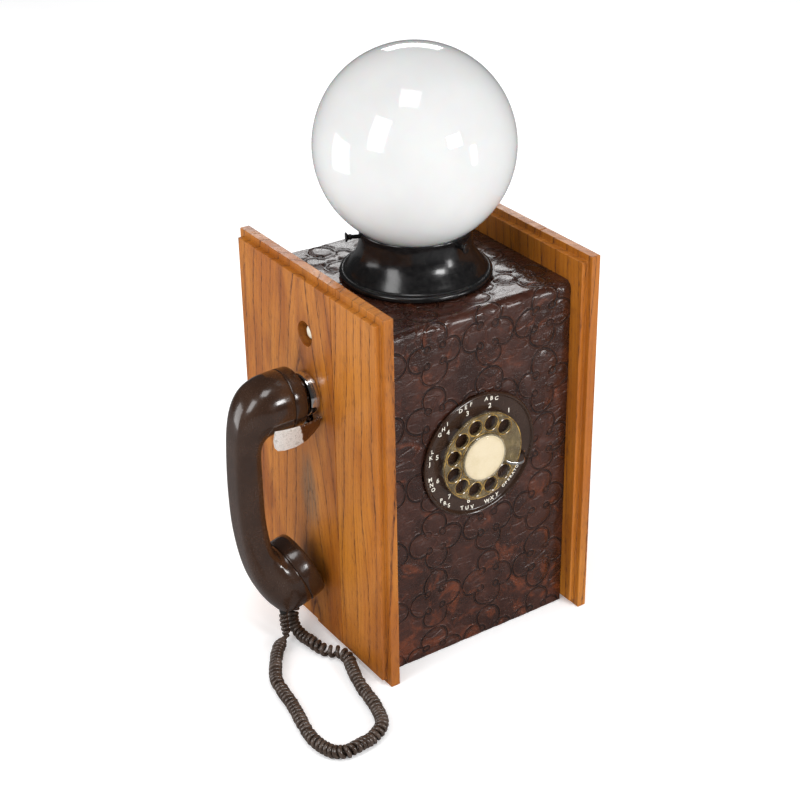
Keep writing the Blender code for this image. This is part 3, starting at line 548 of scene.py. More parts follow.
def printed_ink():
    g = Graph("number_ink", Specular_IOR_Level=0.4)
    worn = g.noise(g.where(), 1300.0, 3.0)
    colour = g.mix(worn.band(0.45, 0.75, 0.0, 0.5), (0.80, 0.76, 0.66), (0.42, 0.37, 0.29))
    return g.finish(colour, worn.band(0.3, 0.7, 0.4, 0.6), g.bump(worn, 0.00005, 0.3))


def rubber():
    g = Graph("black_rubber")
    where = g.where()
    speck = g.noise(where, 800.0, 3.0)
    bloom = g.noise(where, 120.0, 3.0)
    colour = g.mix(bloom.band(0.4, 0.7), (0.016, 0.015, 0.014), (0.040, 0.036, 0.032))
    return g.finish(colour, bloom.band(0.3, 0.7, 0.5, 0.7), g.bump(speck, 0.0002, 0.4))


def cord_vinyl():
    g = Graph("cord_vinyl_look", Specular_IOR_Level=0.5, Coat_Weight=0.4, Coat_Roughness=0.10)
    where = g.where()
    cloud = g.noise(where, 150.0, 4.0)
    dust = g.noise(where, 1100.0, 3.0)
    colour = g.mix(cloud.band(0.35, 0.7), (0.040, 0.025, 0.0175), (0.085, 0.058, 0.044))
    colour = g.mix(dust.band(0.58, 0.72, 0.0, 0.35), colour, (0.22, 0.18, 0.15))
    return g.finish(colour, cloud.band(0.3, 0.7, 0.20, 0.36), g.bump(dust, 0.0001, 0.3))


def plywood():
    g = Graph("plain_plywood")
    where = g.where()
    x, y, z = g.split(where)
    slow = g.noise(g.scaled(where, (5, 5, 2)), 1.0, 3.0)
    rings = ((x * 0.4 + z * 0.05 + slow * 0.12) * 900.0).math("SINE") * 0.5 + 0.5
    fibre = g.noise(g.scaled(where, (700, 700, 22)), 1.0, 3.0)
    colour = g.mix(rings.band(0.2, 0.9, 0.0, 0.6), (0.46, 0.31, 0.17), (0.33, 0.20, 0.095))
    colour = g.mix(fibre.band(0.5, 0.72, 0.0, 0.5), colour, (0.20, 0.11, 0.05))
    return g.finish(colour, fibre.band(0.3, 0.7, 0.55, 0.75), g.bump(fibre + rings * 0.3, 0.0003, 0.5))


def frosted_bulb():
    g = Graph("frosted_bulb", Subsurface_Weight=0.3, Subsurface_Scale=0.006)
    frost = g.noise(g.where(), 900.0, 3.0)
    colour = g.mix(frost.band(0.35, 0.7), (0.80, 0.80, 0.78), (0.88, 0.88, 0.86))
    return g.finish(colour, frost.band(0.3, 0.7, 0.22, 0.34), g.bump(frost, 0.0001, 0.2))


def floor_look():
    """White paper, seen darker in reflections than in light."""
    g = Graph("studio_floor", Specular_IOR_Level=0.1)
    soft = g.noise(g.where(), 3.0, 2.0)
    glossy = Value(g, g.node("LightPath").outputs["Is Glossy Ray"])
    colour = g.mix(soft.band(0.3, 0.7), (0.955, 0.955, 0.96), (0.975, 0.975, 0.98))
    colour = g.mix(glossy, colour, (0.21, 0.21, 0.215))
    glow = g.mix(glossy, (0.20, 0.20, 0.20), (0.0, 0.0, 0.0))
    g.feed(g.shader.inputs["Emission Color"], glow)
    g.shader.inputs["Emission Strength"].default_value = 1.0
    return g.finish(colour, soft.band(0.3, 0.7, 0.65, 0.75))


LOOKS = {
    "oak": oak("oak_plain", (0.03, -0.13, 0.1), 0.009, 0.03, 5.0),
    "plywood": plywood(),
    "tooled_leather": tooled_leather(),
    "brown_plastic": gloss_plastic("brown_phone_plastic", (0.040, 0.0195, 0.0112), (0.028, 0.0135, 0.0078)),
    "dark_plastic": matt_plastic("dark_moulding", (0.045, 0.032, 0.024), (0.022, 0.016, 0.012)),
    "clear_acrylic": hazy_acrylic("aged_acrylic", (0.30, 0.225, 0.105), (0.13, 0.095, 0.048), 0.50),
    "card": paper_card(),
    "chrome": metal("worn_chrome", (0.78, 0.77, 0.76), (0.55, 0.53, 0.50), (0.06, 0.15)),
    "steel": metal("zinc_steel", (0.62, 0.61, 0.58), (0.42, 0.41, 0.38), (0.25, 0.42), 0.6),
    "brass": metal("satin_brass", (0.72, 0.50, 0.20), (0.50, 0.32, 0.12), (0.22, 0.36), 0.4),
    "black_paint": black_enamel(),
    "opal_glass": opal_glass(),
    "porcelain": gloss_plastic("glazed_porcelain", (0.82, 0.81, 0.77), (0.74, 0.73, 0.69), (0.12, 0.2)),
    "bulb_glass": frosted_bulb(),
    "ivory_plastic": matt_plastic("ivory_button", (0.74, 0.70, 0.58), (0.62, 0.57, 0.45)),
    "rubber": rubber(),
    "cord_vinyl": cord_vinyl(),
}


# ---------------------------------------------------------------- camera, floor and light

def camera():
    data = bpy.data.cameras.new("camera")
    data.sensor_width = 36
    data.lens = 77.24
    data.shift_x = -0.011
    data.shift_y = -0.00275
    obj = bpy.data.objects.new("camera", data)
    right = Vector((0.82829, -0.56017, -0.01225))
    up = Vector((0.27766, 0.39137, 0.87735))
    look = Vector((0.48667, 0.73010, -0.47970))
    turn = Matrix((right, up, -look)).transposed().to_4x4()
    obj.matrix_world = Matrix.Translation((-0.6729, -0.9994, 0.8412)) @ turn
    bpy.context.scene.collection.objects.link(obj)
    bpy.context.scene.camera = obj


def floor():
    half = 3.0
    corners = [(-half, -half, -0.0001), (half, -half, -0.0001), (half, half, -0.0001), (-half, half, -0.0001)]
    obj = piece("studio_floor_plane", corners, [(0, 1, 2, 3)], floor_look(), smooth=False)


def softbox(name, spot, target, size, power, tint=(1, 1, 1)):
    data = bpy.data.lights.new(name, "AREA")
    data.shape = "RECTANGLE"
    data.size, data.size_y = size
    data.energy = power
    data.color = tint
    obj = bpy.data.objects.new(name, data)
    aim = Vector(target) - Vector(spot)
    obj.matrix_world = Matrix.Translation(spot) @ aim.to_track_quat("-Z", "Y").to_matrix().to_4x4()
    bpy.context.scene.collection.objects.link(obj)


def studio():
    """A white tent for the broad light, dark beyond it for reflections, and six soft boxes."""
    world = bpy.data.worlds.new("studio")
    world.use_nodes = True
    nodes, links = world.node_tree.nodes, world.node_tree.links
    tent = nodes["Background"]
    tent.inputs["Color"].default_value = (1.0, 1.0, 1.0, 1.0)
    tent.inputs["Strength"].default_value = 0.70
    dark = nodes.new("ShaderNodeBackground")
    dark.inputs["Color"].default_value = (0.95, 0.97, 1.0, 1.0)
    dark.inputs["Strength"].default_value = 0.05
    mix = nodes.new("ShaderNodeMixShader")
    links.new(nodes.new("ShaderNodeLightPath").outputs["Is Glossy Ray"], mix.inputs[0])
    links.new(tent.outputs[0], mix.inputs[1])
    links.new(dark.outputs[0], mix.inputs[2])
    links.new(mix.outputs[0], nodes["World Output"].inputs["Surface"])
    bpy.context.scene.world = world
    bpy.context.scene.view_settings.view_transform = "Standard"
    centre = (0, 0, 0.2)
    softbox("key", (-1.15, -0.25, 0.95), centre, (0.45, 0.8), 6.5)
    softbox("edge", (-0.95, 0.55, 0.18), centre, (0.5, 0.7), 4.0)
    softbox("front", (0.30, -1.40, 0.85), centre, (0.42, 0.32), 8.5)
    softbox("low", (0.75, -1.20, 0.36), centre, (0.16, 0.45), 3.5)
    softbox("back", (0.9, 1.35, 1.05), centre, (0.7, 0.4), 5.0)
    softbox("top", (-0.35, -0.35, 1.75), centre, (0.5, 0.5), 4.5)


# ---------------------------------------------------------------- cord

COIL_RADIUS = 0.0055
WIRE_RADIUS = 0.0017
COIL_PITCH = 0.0040
COIL_ANCHORS = (
    (-0.1346, -0.0062, 0.0060), (-0.1422, -0.0117, 0.0059), (-0.1512, -0.0215, 0.0058), (-0.1611, -0.0370, 0.0058),
    (-0.1668, -0.0480, 0.0058), (-0.1698, -0.0620, 0.0058), (-0.1716, -0.0770, 0.0058), (-0.1748, -0.0945, 0.0058),
    (-0.1786, -0.1110, 0.0058), (-0.1803, -0.1248, 0.0058), (-0.1788, -0.1376, 0.0058), (-0.1748, -0.1470, 0.0058),
    (-0.1686, -0.1515, 0.0058), (-0.1600, -0.1512, 0.0058), (-0.1510, -0.1508, 0.0058), (-0.1395, -0.1478, 0.0058),
    (-0.1292, -0.1410, 0.0058), (-0.1238, -0.1301, 0.0058), (-0.1203, -0.1158, 0.0058), (-0.1180, -0.1002, 0.0058),
    (-0.1150, -0.0850, 0.0058), (-0.1110, -0.0710, 0.0060), (-0.1070, -0.0590, 0.0064), (-0.1070, -0.0500, 0.0066),
    (-0.1108, -0.0445, 0.0062), (-0.1155, -0.0385, 0.0059), (-0.1175, -0.0300, 0.0059), (-0.1192, -0.0210, 0.0059),
    (-0.1206, -0.0110, 0.0060), (-0.1210, -0.0020, 0.0075), (-0.1205, 0.0045, 0.0130), (-0.1170, 0.0095, 0.0195),
    (-0.1125, 0.0130, 0.0245), (-0.1085, 0.0150, 0.0275),
)
HANDSET_LEAD_ANCHORS = (
    (-0.1310, 0.0000, 0.0310), (-0.1311, 0.0000, 0.0270), (-0.1313, -0.0004, 0.0210), (-0.1312, -0.0010, 0.0150),
    (-0.1308, -0.0020, 0.0100), (-0.1314, -0.0036, 0.0070), (-0.1338, -0.0056, 0.0061),
)
WALL_LEAD_ANCHORS = (
    (-0.1078, 0.0153, 0.0280), (-0.1060, 0.0163, 0.0288), (-0.1035, 0.0174, 0.0296), (-0.1010, 0.0179, 0.0300),
    (-0.0950, 0.0180, 0.0300),
)


def evenly(anchors, step):
    """Points at an even step along a smooth curve through the anchors."""
    fine = [Vector(p) for p in spline(anchors, 24)]
    out = [fine[0]]
    for spot in fine[1:]:
        while (spot - out[-1]).length > step:
            out.append(out[-1] + (spot - out[-1]).normalized() * step)
    out.append(fine[-1])
    return out


def run_length(points):
    return sum((b - a).length for a, b in zip(points, points[1:]))


def helix(route):
    """The wire of a curly cord whose coil follows the route, its turns tight or drawn apart as they lie."""
    total = run_length(route)
    loose_from, loose_to = 0.745 * total, 0.875 * total
    points = []
    side = Vector((0, 0, 1))
    turn = 0.0
    at = 0.0
    for k, spot in enumerate(route):
        ahead = (route[min(k + 1, len(route) - 1)] - route[max(k - 1, 0)]).normalized()
        side = (side - ahead * side.dot(ahead)).normalized()
        other = ahead.cross(side)
        step = (route[k] - route[k - 1]).length if k else 0.0
        at += step
        pitch = COIL_PITCH * (1 + 0.42 * noise.noise(Vector((at * 85, 0, 0))))
        pitch += 0.0024 * smooth(loose_from, loose_from + 0.012, at) * (1 - smooth(loose_to - 0.012, loose_to, at))
        turn += 2 * math.pi * step / pitch
        reach = (COIL_RADIUS - WIRE_RADIUS) * smooth(-0.004, 0.010, at) * (1 - smooth(total - 0.010, total + 0.002, at))
        wobble = 1 - 0.30 * abs(noise.noise(Vector((at * 150, 5, 0))))
        lean = 0.0030 * noise.noise(Vector((at * 60, 9, 0)))
        sway = side * (0.0011 * noise.noise(Vector((at * 110, 2, 0)))) * min(1.0, reach / 0.003)
        round_spot = (side * math.cos(turn) + other * math.sin(turn)) * reach * wobble
        points.append(spot + sway + round_spot + ahead * (lean * math.sin(turn + 0.7) * reach / COIL_RADIUS))
    return points


def small_coil(route):
    """The few tight turns between the handset and the place where the cord lies down."""
    total = run_length(route)
    step = total / (len(route) - 1)
    points = []
    side = Vector((0, 1, 0))
    for k, spot in enumerate(route):
        ahead = (route[min(k + 1, len(route) - 1)] - route[max(k - 1, 0)]).normalized()
        side = (side - ahead * side.dot(ahead)).normalized()
        at = k * step
        reach = 0.0021 * smooth(0.001, 0.006, at) * (1 - smooth(total - 0.006, total, at))
        turn = 2 * math.pi * at / 0.0040
        points.append(spot + (side * math.cos(turn) + ahead.cross(side) * math.sin(turn)) * reach)
    return points


def smooth(low, high, value):
    t = min(max((value - low) / (high - low), 0.0), 1.0)
    return t * t * (3 - 2 * t)


def wire(name, path, radius, finish, sides=10):
    side = Vector((0, 1, 0))
    rings = []
    for k, spot in enumerate(path):
        ahead = (path[min(k + 1, len(path) - 1)] - path[max(k - 1, 0)]).normalized()
        side = side - ahead * side.dot(ahead)
        side.normalize()
        other = ahead.cross(side)
        rings.append([
            spot + (side * math.cos(2 * math.pi * j / sides) + other * math.sin(2 * math.pi * j / sides)) * radius
            for j in range(sides)
        ])
    return loft(name, rings, finish, sharp=60)


def cords():
    route = evenly(COIL_ANCHORS, COIL_PITCH / 16)
    coil = helix(route)
    tail = evenly(WALL_LEAD_ANCHORS, 0.001)
    path = coil + [p for p in tail if (p - coil[-1]).length > 0.003]
    curly = wire("curly_cord", path, WIRE_RADIUS, LOOKS["cord_vinyl"])
    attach(curly, "cabinet")
    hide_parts("cord_coil", "cord_lead_wall")
    lead_path = small_coil(evenly(HANDSET_LEAD_ANCHORS, 0.0002)) + coil[2:18]
    lead = wire("handset_lead", lead_path, WIRE_RADIUS, LOOKS["cord_vinyl"])
    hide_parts("cord_lead_handset")
    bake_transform(lead)
    run_length(lead_path)
    run_length(path)


# ---------------------------------------------------------------- cabinet

def boards():
    left_front = oak("oak_left_front", (-0.190, -0.060, 0.1), 0.0112, 0.016, 1.0, 0.35)
    # This board carries the painted shadow of the handset behind its handle.
    left_rear = oak("oak_left_rear", (0.006, -0.108, 0.1), 0.0125, 0.120, 2.0, 0.75, handset_shadow_at=(0.004, 0.128))
    right_front = oak("oak_right_front", (-0.020, 0.160, 0.1), 0.0085, 0.030, 3.0)
    right_rear = oak("oak_right_rear", (0.130, 0.160, 0.1), 0.0095, 0.024, 4.0)
    for node, finish in (("side_left_front_board", left_front), ("side_left_rear_board", left_rear),
                         ("side_right_front_board", right_front), ("side_right_rear_board", right_rear)):
        soften(node, finish, 0.0007, 3)


def carcass():
    for node in ("front_board", "top_board", "bottom_board", "back_panel"):
        soften(node, LOOKS["plywood"], 0.0004, 2)


def figure_place(x, v):
    """Where a spot of the hide falls in the pressed pattern, which the hide's stretch has pulled about."""
    pull = noise.noise_vector(Vector((x * 30, v * 30, 3.1)))
    return x + pull.x * 0.0042, v + pull.y * 0.0042


def puffed(u, v):
    """How far the hide stands proud at one spot of the pattern: plump lobes, and softer ground between them."""
    a = abs((u - FIGURE_AT[0] + FIGURE_STEP[0] / 2) % FIGURE_STEP[0] - FIGURE_STEP[0] / 2)
    b = abs((v - FIGURE_AT[1] + FIGURE_STEP[1] / 2) % FIGURE_STEP[1] - FIGURE_STEP[1] / 2)
    edge = min(math.hypot(a - ca, b - cb) - radius for ca, cb, radius in LOBES)
    if edge < 0:
        return 0.00115 * (1 - (1 - min(1.0, -edge / 0.0070)) ** 2)
    return 0.00070 * (1 - (1 - min(1.0, edge / 0.0055)) ** 2)


def leather():
    low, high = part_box("leather_cover")
    dial_low, dial_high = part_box("dial_bezel")
    dial_z = (dial_low.z + dial_high.z) / 2
    thick = 0.0019
    radius = 0.007
    step = 0.0013
    lamp_low, lamp_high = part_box("lamp_fitter")
    lamp_y = (lamp_low.y + lamp_high.y) / 2
    outer = []
    at = low.z
    front, top = low.y, high.z
    straight = top - radius - low.z
    arc = radius * math.pi / 2
    back = high.y - (front + radius)
    count = int((straight + arc + back) / step)
    for k in range(count + 1):
        s = (straight + arc + back) * k / count
        if s <= straight:
            spot, out = Vector((0, front, low.z + s)), Vector((0, -1, 0))
        elif s <= straight + arc:
            turn = (s - straight) / radius
            out = Vector((0, -math.cos(turn), math.sin(turn)))
            spot = Vector((0, front + radius, top - radius)) + out * radius
        else:
            spot, out = Vector((0, front + radius + s - straight - arc, top)), Vector((0, 0, 1))
        outer.append((spot, out, low.z + s))
    columns = 135
    points = []
    flats = []
    for inner in (False, True):
        for spot, out, v in outer:
            for i in range(columns + 1):
                x = low.x + (high.x - low.x) * i / columns
                place_at = spot + Vector((x, 0, 0))
                edge = min(x - low.x, high.x - x, v - low.z + 0.002)
                rim = smooth(0.0, 0.005, edge)
                u, w = figure_place(x, v)
                flats.append((u, w))
                if inner:
                    points.append(place_at - out * thick)
                    continue
                puff = noise.noise(Vector((x * 26, v * 24, 1.7))) * 0.0011 + puffed(u, w) - 0.0008
                puff += noise.noise(Vector((x * 75 + v * 40, v * 110, 4.2))) * 0.00030
                fitted = smooth(0.0500, 0.0580, math.hypot(x, place_at.z - dial_z) if out.y < -0.9 else 1.0)
                fitted *= smooth(0.0570, 0.0640, math.hypot(x, place_at.y - lamp_y) if out.z > 0.9 else 1.0)
                puff = (puff + 0.0003) * fitted - 0.0003
                points.append(place_at + out * (min(puff, 0.0008) * rim - 0.0006 * (1 - rim)))
    row = columns + 1
    layer = row * len(outer)
    faces = []
    for j in range(len(outer) - 1):
        for i in range(columns):
            a = j * row + i
            middle = (points[a] + points[a + row + 1]) / 2
            if middle.y < front + 0.001 and math.hypot(middle.x, middle.z - dial_z) < 0.0432:
                continue
            faces.append((a, a + 1, a + row + 1, a + row))
            faces.append((layer + a, layer + a + row, layer + a + row + 1, layer + a + 1))
    rim_loop = list(range(row)) + [j * row + columns for j in range(1, len(outer))]
    rim_loop += [(len(outer) - 1) * row + i for i in range(columns - 1, -1, -1)]
    rim_loop += [j * row for j in range(len(outer) - 2, 0, -1)]
    for a, b in zip(rim_loop, rim_loop[1:] + rim_loop[:1]):
        faces.append((b, a, layer + a, layer + b))
    mesh = bpy.data.meshes.new("tooled_cover")
    mesh.from_pydata([tuple(p) for p in points], [], faces)
    uv = mesh.uv_layers.new(name="UVMap")
    for loop in mesh.loops:
        uv.data[loop.index].uv = flats[loop.vertex_index]
    mesh.shade_smooth()
    mesh.set_sharp_from_angle(angle=math.radians(50))
    mesh.materials.append(LOOKS["tooled_leather"])
    obj = bpy.data.objects.new("tooled_cover", mesh)
    bpy.context.scene.collection.objects.link(obj)
    place(obj, "leather_cover")


# ---------------------------------------------------------------- dial

DIAL_Z = 0.172
PLATE_DEPTH = 0.0859
BEZEL_PROFILE = (
    (0.0510, 0.0853), (0.0517, 0.0855), (0.0520, 0.0861), (0.0520, 0.0869), (0.0518, 0.0874), (0.0514, 0.0879),
    (0.0508, 0.0882), (0.0503, 0.0880), (0.0498, 0.0876), (0.0493, 0.0868), (0.0489, 0.0863), (0.0484, 0.0860),
    (0.0479, PLATE_DEPTH), (0.0045, PLATE_DEPTH), (0.0045, 0.0853),
)


def finger_wheel():
    centre = (0, 0, DIAL_Z)
    forward = (0, -1, 0)
    wheel = lathe("clear_finger_wheel",
                  [(0.0035, 0.0889), (0.0360, 0.0889), (0.0366, 0.0891), (0.0369, 0.0896), (0.0369, 0.0908),
                   (0.0366, 0.0913), (0.0360, 0.0915), (0.0206, 0.0915), (0.0203, 0.0918), (0.0200, 0.0927),
                   (0.0197, 0.0929), (0.0035, 0.0929)],
                  centre, forward, LOOKS["clear_acrylic"], 96)
    cutters = []
    for k in range(10):
        turn = math.radians(45 + 30 * k)
        spot = (0.0282 * math.cos(turn), 0, DIAL_Z + 0.0282 * math.sin(turn))
        cutter = lathe(f"hole_{k}", [(0, 0.086), (0.0060, 0.086), (0.0060, 0.0905), (0.0068, 0.0916), (0.0074, 0.097),
                                     (0, 0.097)], spot, forward, LOOKS["clear_acrylic"], 40)
        made = wheel.modifiers.new("hole", "BOOLEAN")
        made.operation = "DIFFERENCE"
        made.solver = "EXACT"
        made.object = cutter
        cutters.append(cutter)
    settle(wheel)
    for cutter in cutters:
        bpy.data.objects.remove(cutter, do_unlink=True)
    wheel.data.set_sharp_from_angle(angle=math.radians(30))
    place(wheel, "finger_wheel")
    amber = amber_edges()
    rims = [((0.0282 * math.cos(t), 0.0282 * math.sin(t)), 0.0061, 0.0071) for t in
            (math.radians(45 + 30 * k) for k in range(10))]
    rims += [((0, 0), 0.0358, 0.0366), ((0, 0), 0.0200, 0.0206)]
    for k, ((dx, dz), inner, outer) in enumerate(rims):
        middle = (inner + outer) / 2
        add(lathe(f"wheel_rim_{k}", [(inner, 0.09152), (middle, 0.09185), (outer, 0.09152), (middle, 0.0914)],
                  (dx, 0, DIAL_Z + dz), forward, amber, 72), "finger_wheel")


def lettering():
    """The dial's usual digits and letters, printed upright on the bezel."""
    groups = ((44, "1", ""), (14, "2", "ABC"), (-16, "3", "DEF"), (-46, "4", "GHI"), (-76, "5", "JKL"),
              (-106, "6", "MNO"), (-136, "7", "PRS"), (-166, "8", "TUV"), (-196, "9", "WXY"), (-226, "0", ""))
    marks = []
    for clock, digit, letters in groups:
        marks.append((digit, 0.0402, clock, 0.0042, 0.0))
        way = 1 if clock > -90 else -1
        for k, letter in enumerate(letters):
            marks.append((letter, 0.0463, clock + way * (k - 1) * 6.2, 0.0035, 0.0))
    for k, letter in enumerate("OPERATOR"):
        clock = -213 - k * 4.0
        marks.append((letter, 0.0440, clock, 0.0027, -(clock + 180)))
    points = []
    faces = []
    for text, radius, clock, size, tilt in marks:
        curve = bpy.data.curves.new("mark", "FONT")
        curve.body = text
        curve.size = size * 1.35
        curve.align_x = "CENTER"
        curve.align_y = "CENTER"
        curve.offset = 0.00010
        curve.resolution_u = 3
        obj = bpy.data.objects.new("mark", curve)
        bpy.context.scene.collection.objects.link(obj)
        mesh = bpy.data.meshes.new_from_object(obj)
        bpy.data.objects.remove(obj, do_unlink=True)
        angle = math.radians(90 - clock)
        turn = math.radians(tilt)
        start = len(points)
        for vertex in mesh.vertices:
            a = vertex.co.x * math.cos(turn) - vertex.co.y * math.sin(turn)
            b = vertex.co.x * math.sin(turn) + vertex.co.y * math.cos(turn)
            x = radius * math.cos(angle) + a
            z = radius * math.sin(angle) + b
            rise = 0.0004 * smooth(0.0470, 0.0486, math.hypot(x, z))
            points.append((x, -PLATE_DEPTH - 0.00006 - rise, DIAL_Z + z))
        faces += [tuple(start + i for i in poly.vertices) for poly in mesh.polygons]
    obj = piece("dial_figures", points, faces, printed_ink(), smooth=False)
    add(obj, "dial_bezel")


def dial():
    centre = (0, 0, DIAL_Z)
    forward = (0, -1, 0)
    place(lathe("dial_bezel_moulding", BEZEL_PROFILE, centre, forward, LOOKS["brown_plastic"], 128), "dial_bezel")
    finger_wheel()
    lettering()
    place(lathe("card_disc", [(0, 0.0932), (0.0183, 0.0932), (0.0185, 0.0934), (0.0183, 0.0936), (0, 0.0936)],
                centre, forward, LOOKS["card"], 96), "number_card")
    place(lathe("card_dome",
                [(0, 0.0940), (0.0186, 0.0940), (0.0190, 0.0933), (0.0195, 0.0932), (0.0197, 0.0936),
                 (0.0195, 0.0943), (0.0188, 0.0949), (0.0170, 0.0951), (0.0100, 0.0953), (0, 0.0954)],
                centre, forward, hazy_acrylic("clear_dome", (0.80, 0.74, 0.60), (0.62, 0.55, 0.40), 0.16), 96),
          "card_retainer")
    finger_stop()
    for node in ("dial_case", "dial_shaft", "pulse_cam"):
        soften(node, LOOKS[SLOT_OF[node]], 0.0002, 2)


def finger_stop():
    spots = ((0.0454, -16.5, 0.0868, 0.0036), (0.0438, -17.5, 0.0880, 0.0036), (0.0420, -19.0, 0.0915, 0.0033),
             (0.0398, -21.0, 0.0946, 0.0029), (0.0368, -23.0, 0.0958, 0.0025), (0.0325, -25.0, 0.0961, 0.0022),
             (0.0280, -26.5, 0.0957, 0.0020), (0.0242, -26.0, 0.0951, 0.0018), (0.0218, -24.5, 0.0946, 0.0013))
    rows = spline(spots, 5)
    line = []
    for radius, degrees, height, _ in rows:
        turn = math.radians(degrees)
        line.append(Vector((radius * math.cos(turn), -height, DIAL_Z + radius * math.sin(turn))))
    rings = []
    for k, (spot, row) in enumerate(zip(line, rows)):
        run = (line[min(k + 1, len(line) - 1)] - line[max(k - 1, 0)]).normalized()
        across = run.cross(Vector((0, 1, 0))).normalized()
        lift = across.cross(run).normalized()
        ring = []
        for j in range(16):
            turn = 2 * math.pi * j / 16
            c, s = math.cos(turn), math.sin(turn)
            ring.append(spot + across * (row[3] * 0.6 * math.copysign(abs(c) ** 0.7, c))
                        + lift * (0.00062 * math.copysign(abs(s) ** 0.7, s)))
        rings.append(ring)
    place(loft("chrome_finger_stop", rings, LOOKS["chrome"], 60), "finger_stop")


# ---------------------------------------------------------------- handset and hook

EAR = Vector((-0.1232, 0.0, 0.2199))
MOUTH = Vector((-0.1234, 0.0, 0.0634))
MOUTH_TILT = math.radians(22.0)
HANDSET_SECTIONS = (
    (-0.1232, 0.2435, -0.1232, 0.1963, 0.0236, 2.0),
    (-0.1370, 0.2425, -0.1310, 0.1965, 0.0234, 2.0),
    (-0.1480, 0.2385, -0.1370, 0.1965, 0.0222, 2.1),
    (-0.1565, 0.2315, -0.1420, 0.1950, 0.0190, 2.4),
    (-0.1630, 0.2205, -0.1450, 0.1900, 0.0155, 2.8),
    (-0.1667, 0.2050, -0.1462, 0.1830, 0.0133, 3.4),
    (-0.1682, 0.1860, -0.1464, 0.1730, 0.0122, 4.2),
    (-0.1688, 0.1650, -0.1466, 0.1610, 0.0118, 5.0),
    (-0.1688, 0.1450, -0.1466, 0.1450, 0.0118, 5.0),
    (-0.1676, 0.1200, -0.1460, 0.1260, 0.0118, 5.0),
    (-0.1643, 0.0950, -0.1435, 0.1070, 0.0122, 4.2),
    (-0.1590, 0.0730, -0.1405, 0.0965, 0.0140, 3.2),
    (-0.1512, 0.0545, -0.1380, 0.0918, 0.0183, 2.6),
    (-0.1428, 0.0407, -0.1365, 0.0900, 0.0233, 2.2),
    (-0.1328, 0.0326, -0.1345, 0.0893, 0.0266, 2.05),
)


def handset():
    down = Vector((math.sin(MOUTH_TILT), 0, -math.cos(MOUTH_TILT))) * 0.028
    low, high = MOUTH + down, MOUTH - down
    sections = HANDSET_SECTIONS + ((low.x, low.z, high.x, high.z, 0.028, 2.0),)
    rings = []
    rows = spline(sections, 7)
    rows = [shrunk(rows[0], 0.975)] + [shrunk(rows[0], 0.99)] + rows[1:-1] + [shrunk(rows[-1], 0.99)] + [shrunk(rows[-1], 0.975)]
    for xo, zo, xi, zi, half, power in rows:
        centre = Vector(((xo + xi) / 2, 0, (zo + zi) / 2))
        reach = Vector(((xo - xi) / 2, 0, (zo - zi) / 2))
        ring = []
        for k in range(64):
            turn = 2 * math.pi * k / 64
            c, s = math.cos(turn), math.sin(turn)
            along = math.copysign(abs(c) ** (2 / power), c)
            across = math.copysign(abs(s) ** (2 / power), s)
            ring.append(centre + reach * along + Vector((0, half * across, 0)))
        rings.append(ring)
    place(loft("handset_shell", rings, LOOKS["brown_plastic"], 70), "handset_body")
    across = Vector((1, 0, 0))
    tilted = Vector((math.cos(MOUTH_TILT), 0, math.sin(MOUTH_TILT)))
    place(lathe("ear_cap_moulding",
                [(0, 0.0076), (0.0190, 0.0072), (0.0197, 0.0004), (0.0226, 0.0003), (0.0234, 0.0006),
                 (0.0236, 0.0012), (0.0236, 0.0080), (0.0234, 0.0094), (0.0228, 0.0106), (0.0218, 0.0113),
                 (0.0200, 0.0113), (0.0150, 0.0108), (0.0060, 0.0096), (0, 0.0094)],
                EAR, across, LOOKS["brown_plastic"], 96, 60), "ear_cap")
    place(lathe("mouth_cap_moulding",
                [(0, 0.0106), (0.0215, 0.0104), (0.0224, 0.0004), (0.0272, 0.0003), (0.0281, 0.0006),
                 (0.0283, 0.0013), (0.0283, 0.0034), (0.0281, 0.0080), (0.0277, 0.0118), (0.0271, 0.0136),
                 (0.0262, 0.0146), (0.0248, 0.0150), (0.0160, 0.0145), (0.0060, 0.0131), (0, 0.0129)],
                MOUTH, tilted, LOOKS["brown_plastic"], 96, 60), "mouth_cap")
    cap_holes("ear_cap_holes", EAR, across, 0.0096, (0.0, 0.0045, 0.0090), "ear_cap")
    cap_holes("mouth_cap_holes", MOUTH, tilted, 0.0131, (0.0, 0.0055, 0.0110), "mouth_cap")
    soften("handset_grommet", LOOKS["rubber"], 0.0003, 2)


def shrunk(row, share):
    """A section row drawn in about its own middle."""
    xo, zo, xi, zi, half, power = row
    cx, cz = (xo + xi) / 2, (zo + zi) / 2
    return [cx + (xo - cx) * share, cz + (zo - cz) * share, cx + (xi - cx) * share, cz + (zi - cz) * share,
            half * share, power]


def cap_holes(name, centre, axis, depth, radii, node):
    """The round sound holes of a cap, drawn as flat dark discs on its face: painted shade standing for the holes."""
    side = Vector((0, 1, 0))
    other = axis.cross(side)
    points = []
    faces = []
    for ring, radius in enumerate(radii):
        for k in range(max(1, 6 * ring)):
            turn = 2 * math.pi * k / max(1, 6 * ring)
            middle = centre + axis * (depth + 0.00012 + radius * 0.085) + (side * math.cos(turn) + other * math.sin(turn)) * radius
            start = len(points)
            for j in range(12):
                spin = 2 * math.pi * j / 12
                points.append(middle + (side * math.cos(spin) + other * math.sin(spin)) * 0.0011)
            faces.append(tuple(range(start, start + 12)))
    add(piece(name, points, faces, LOOKS["dark_plastic"], smooth=False), node)


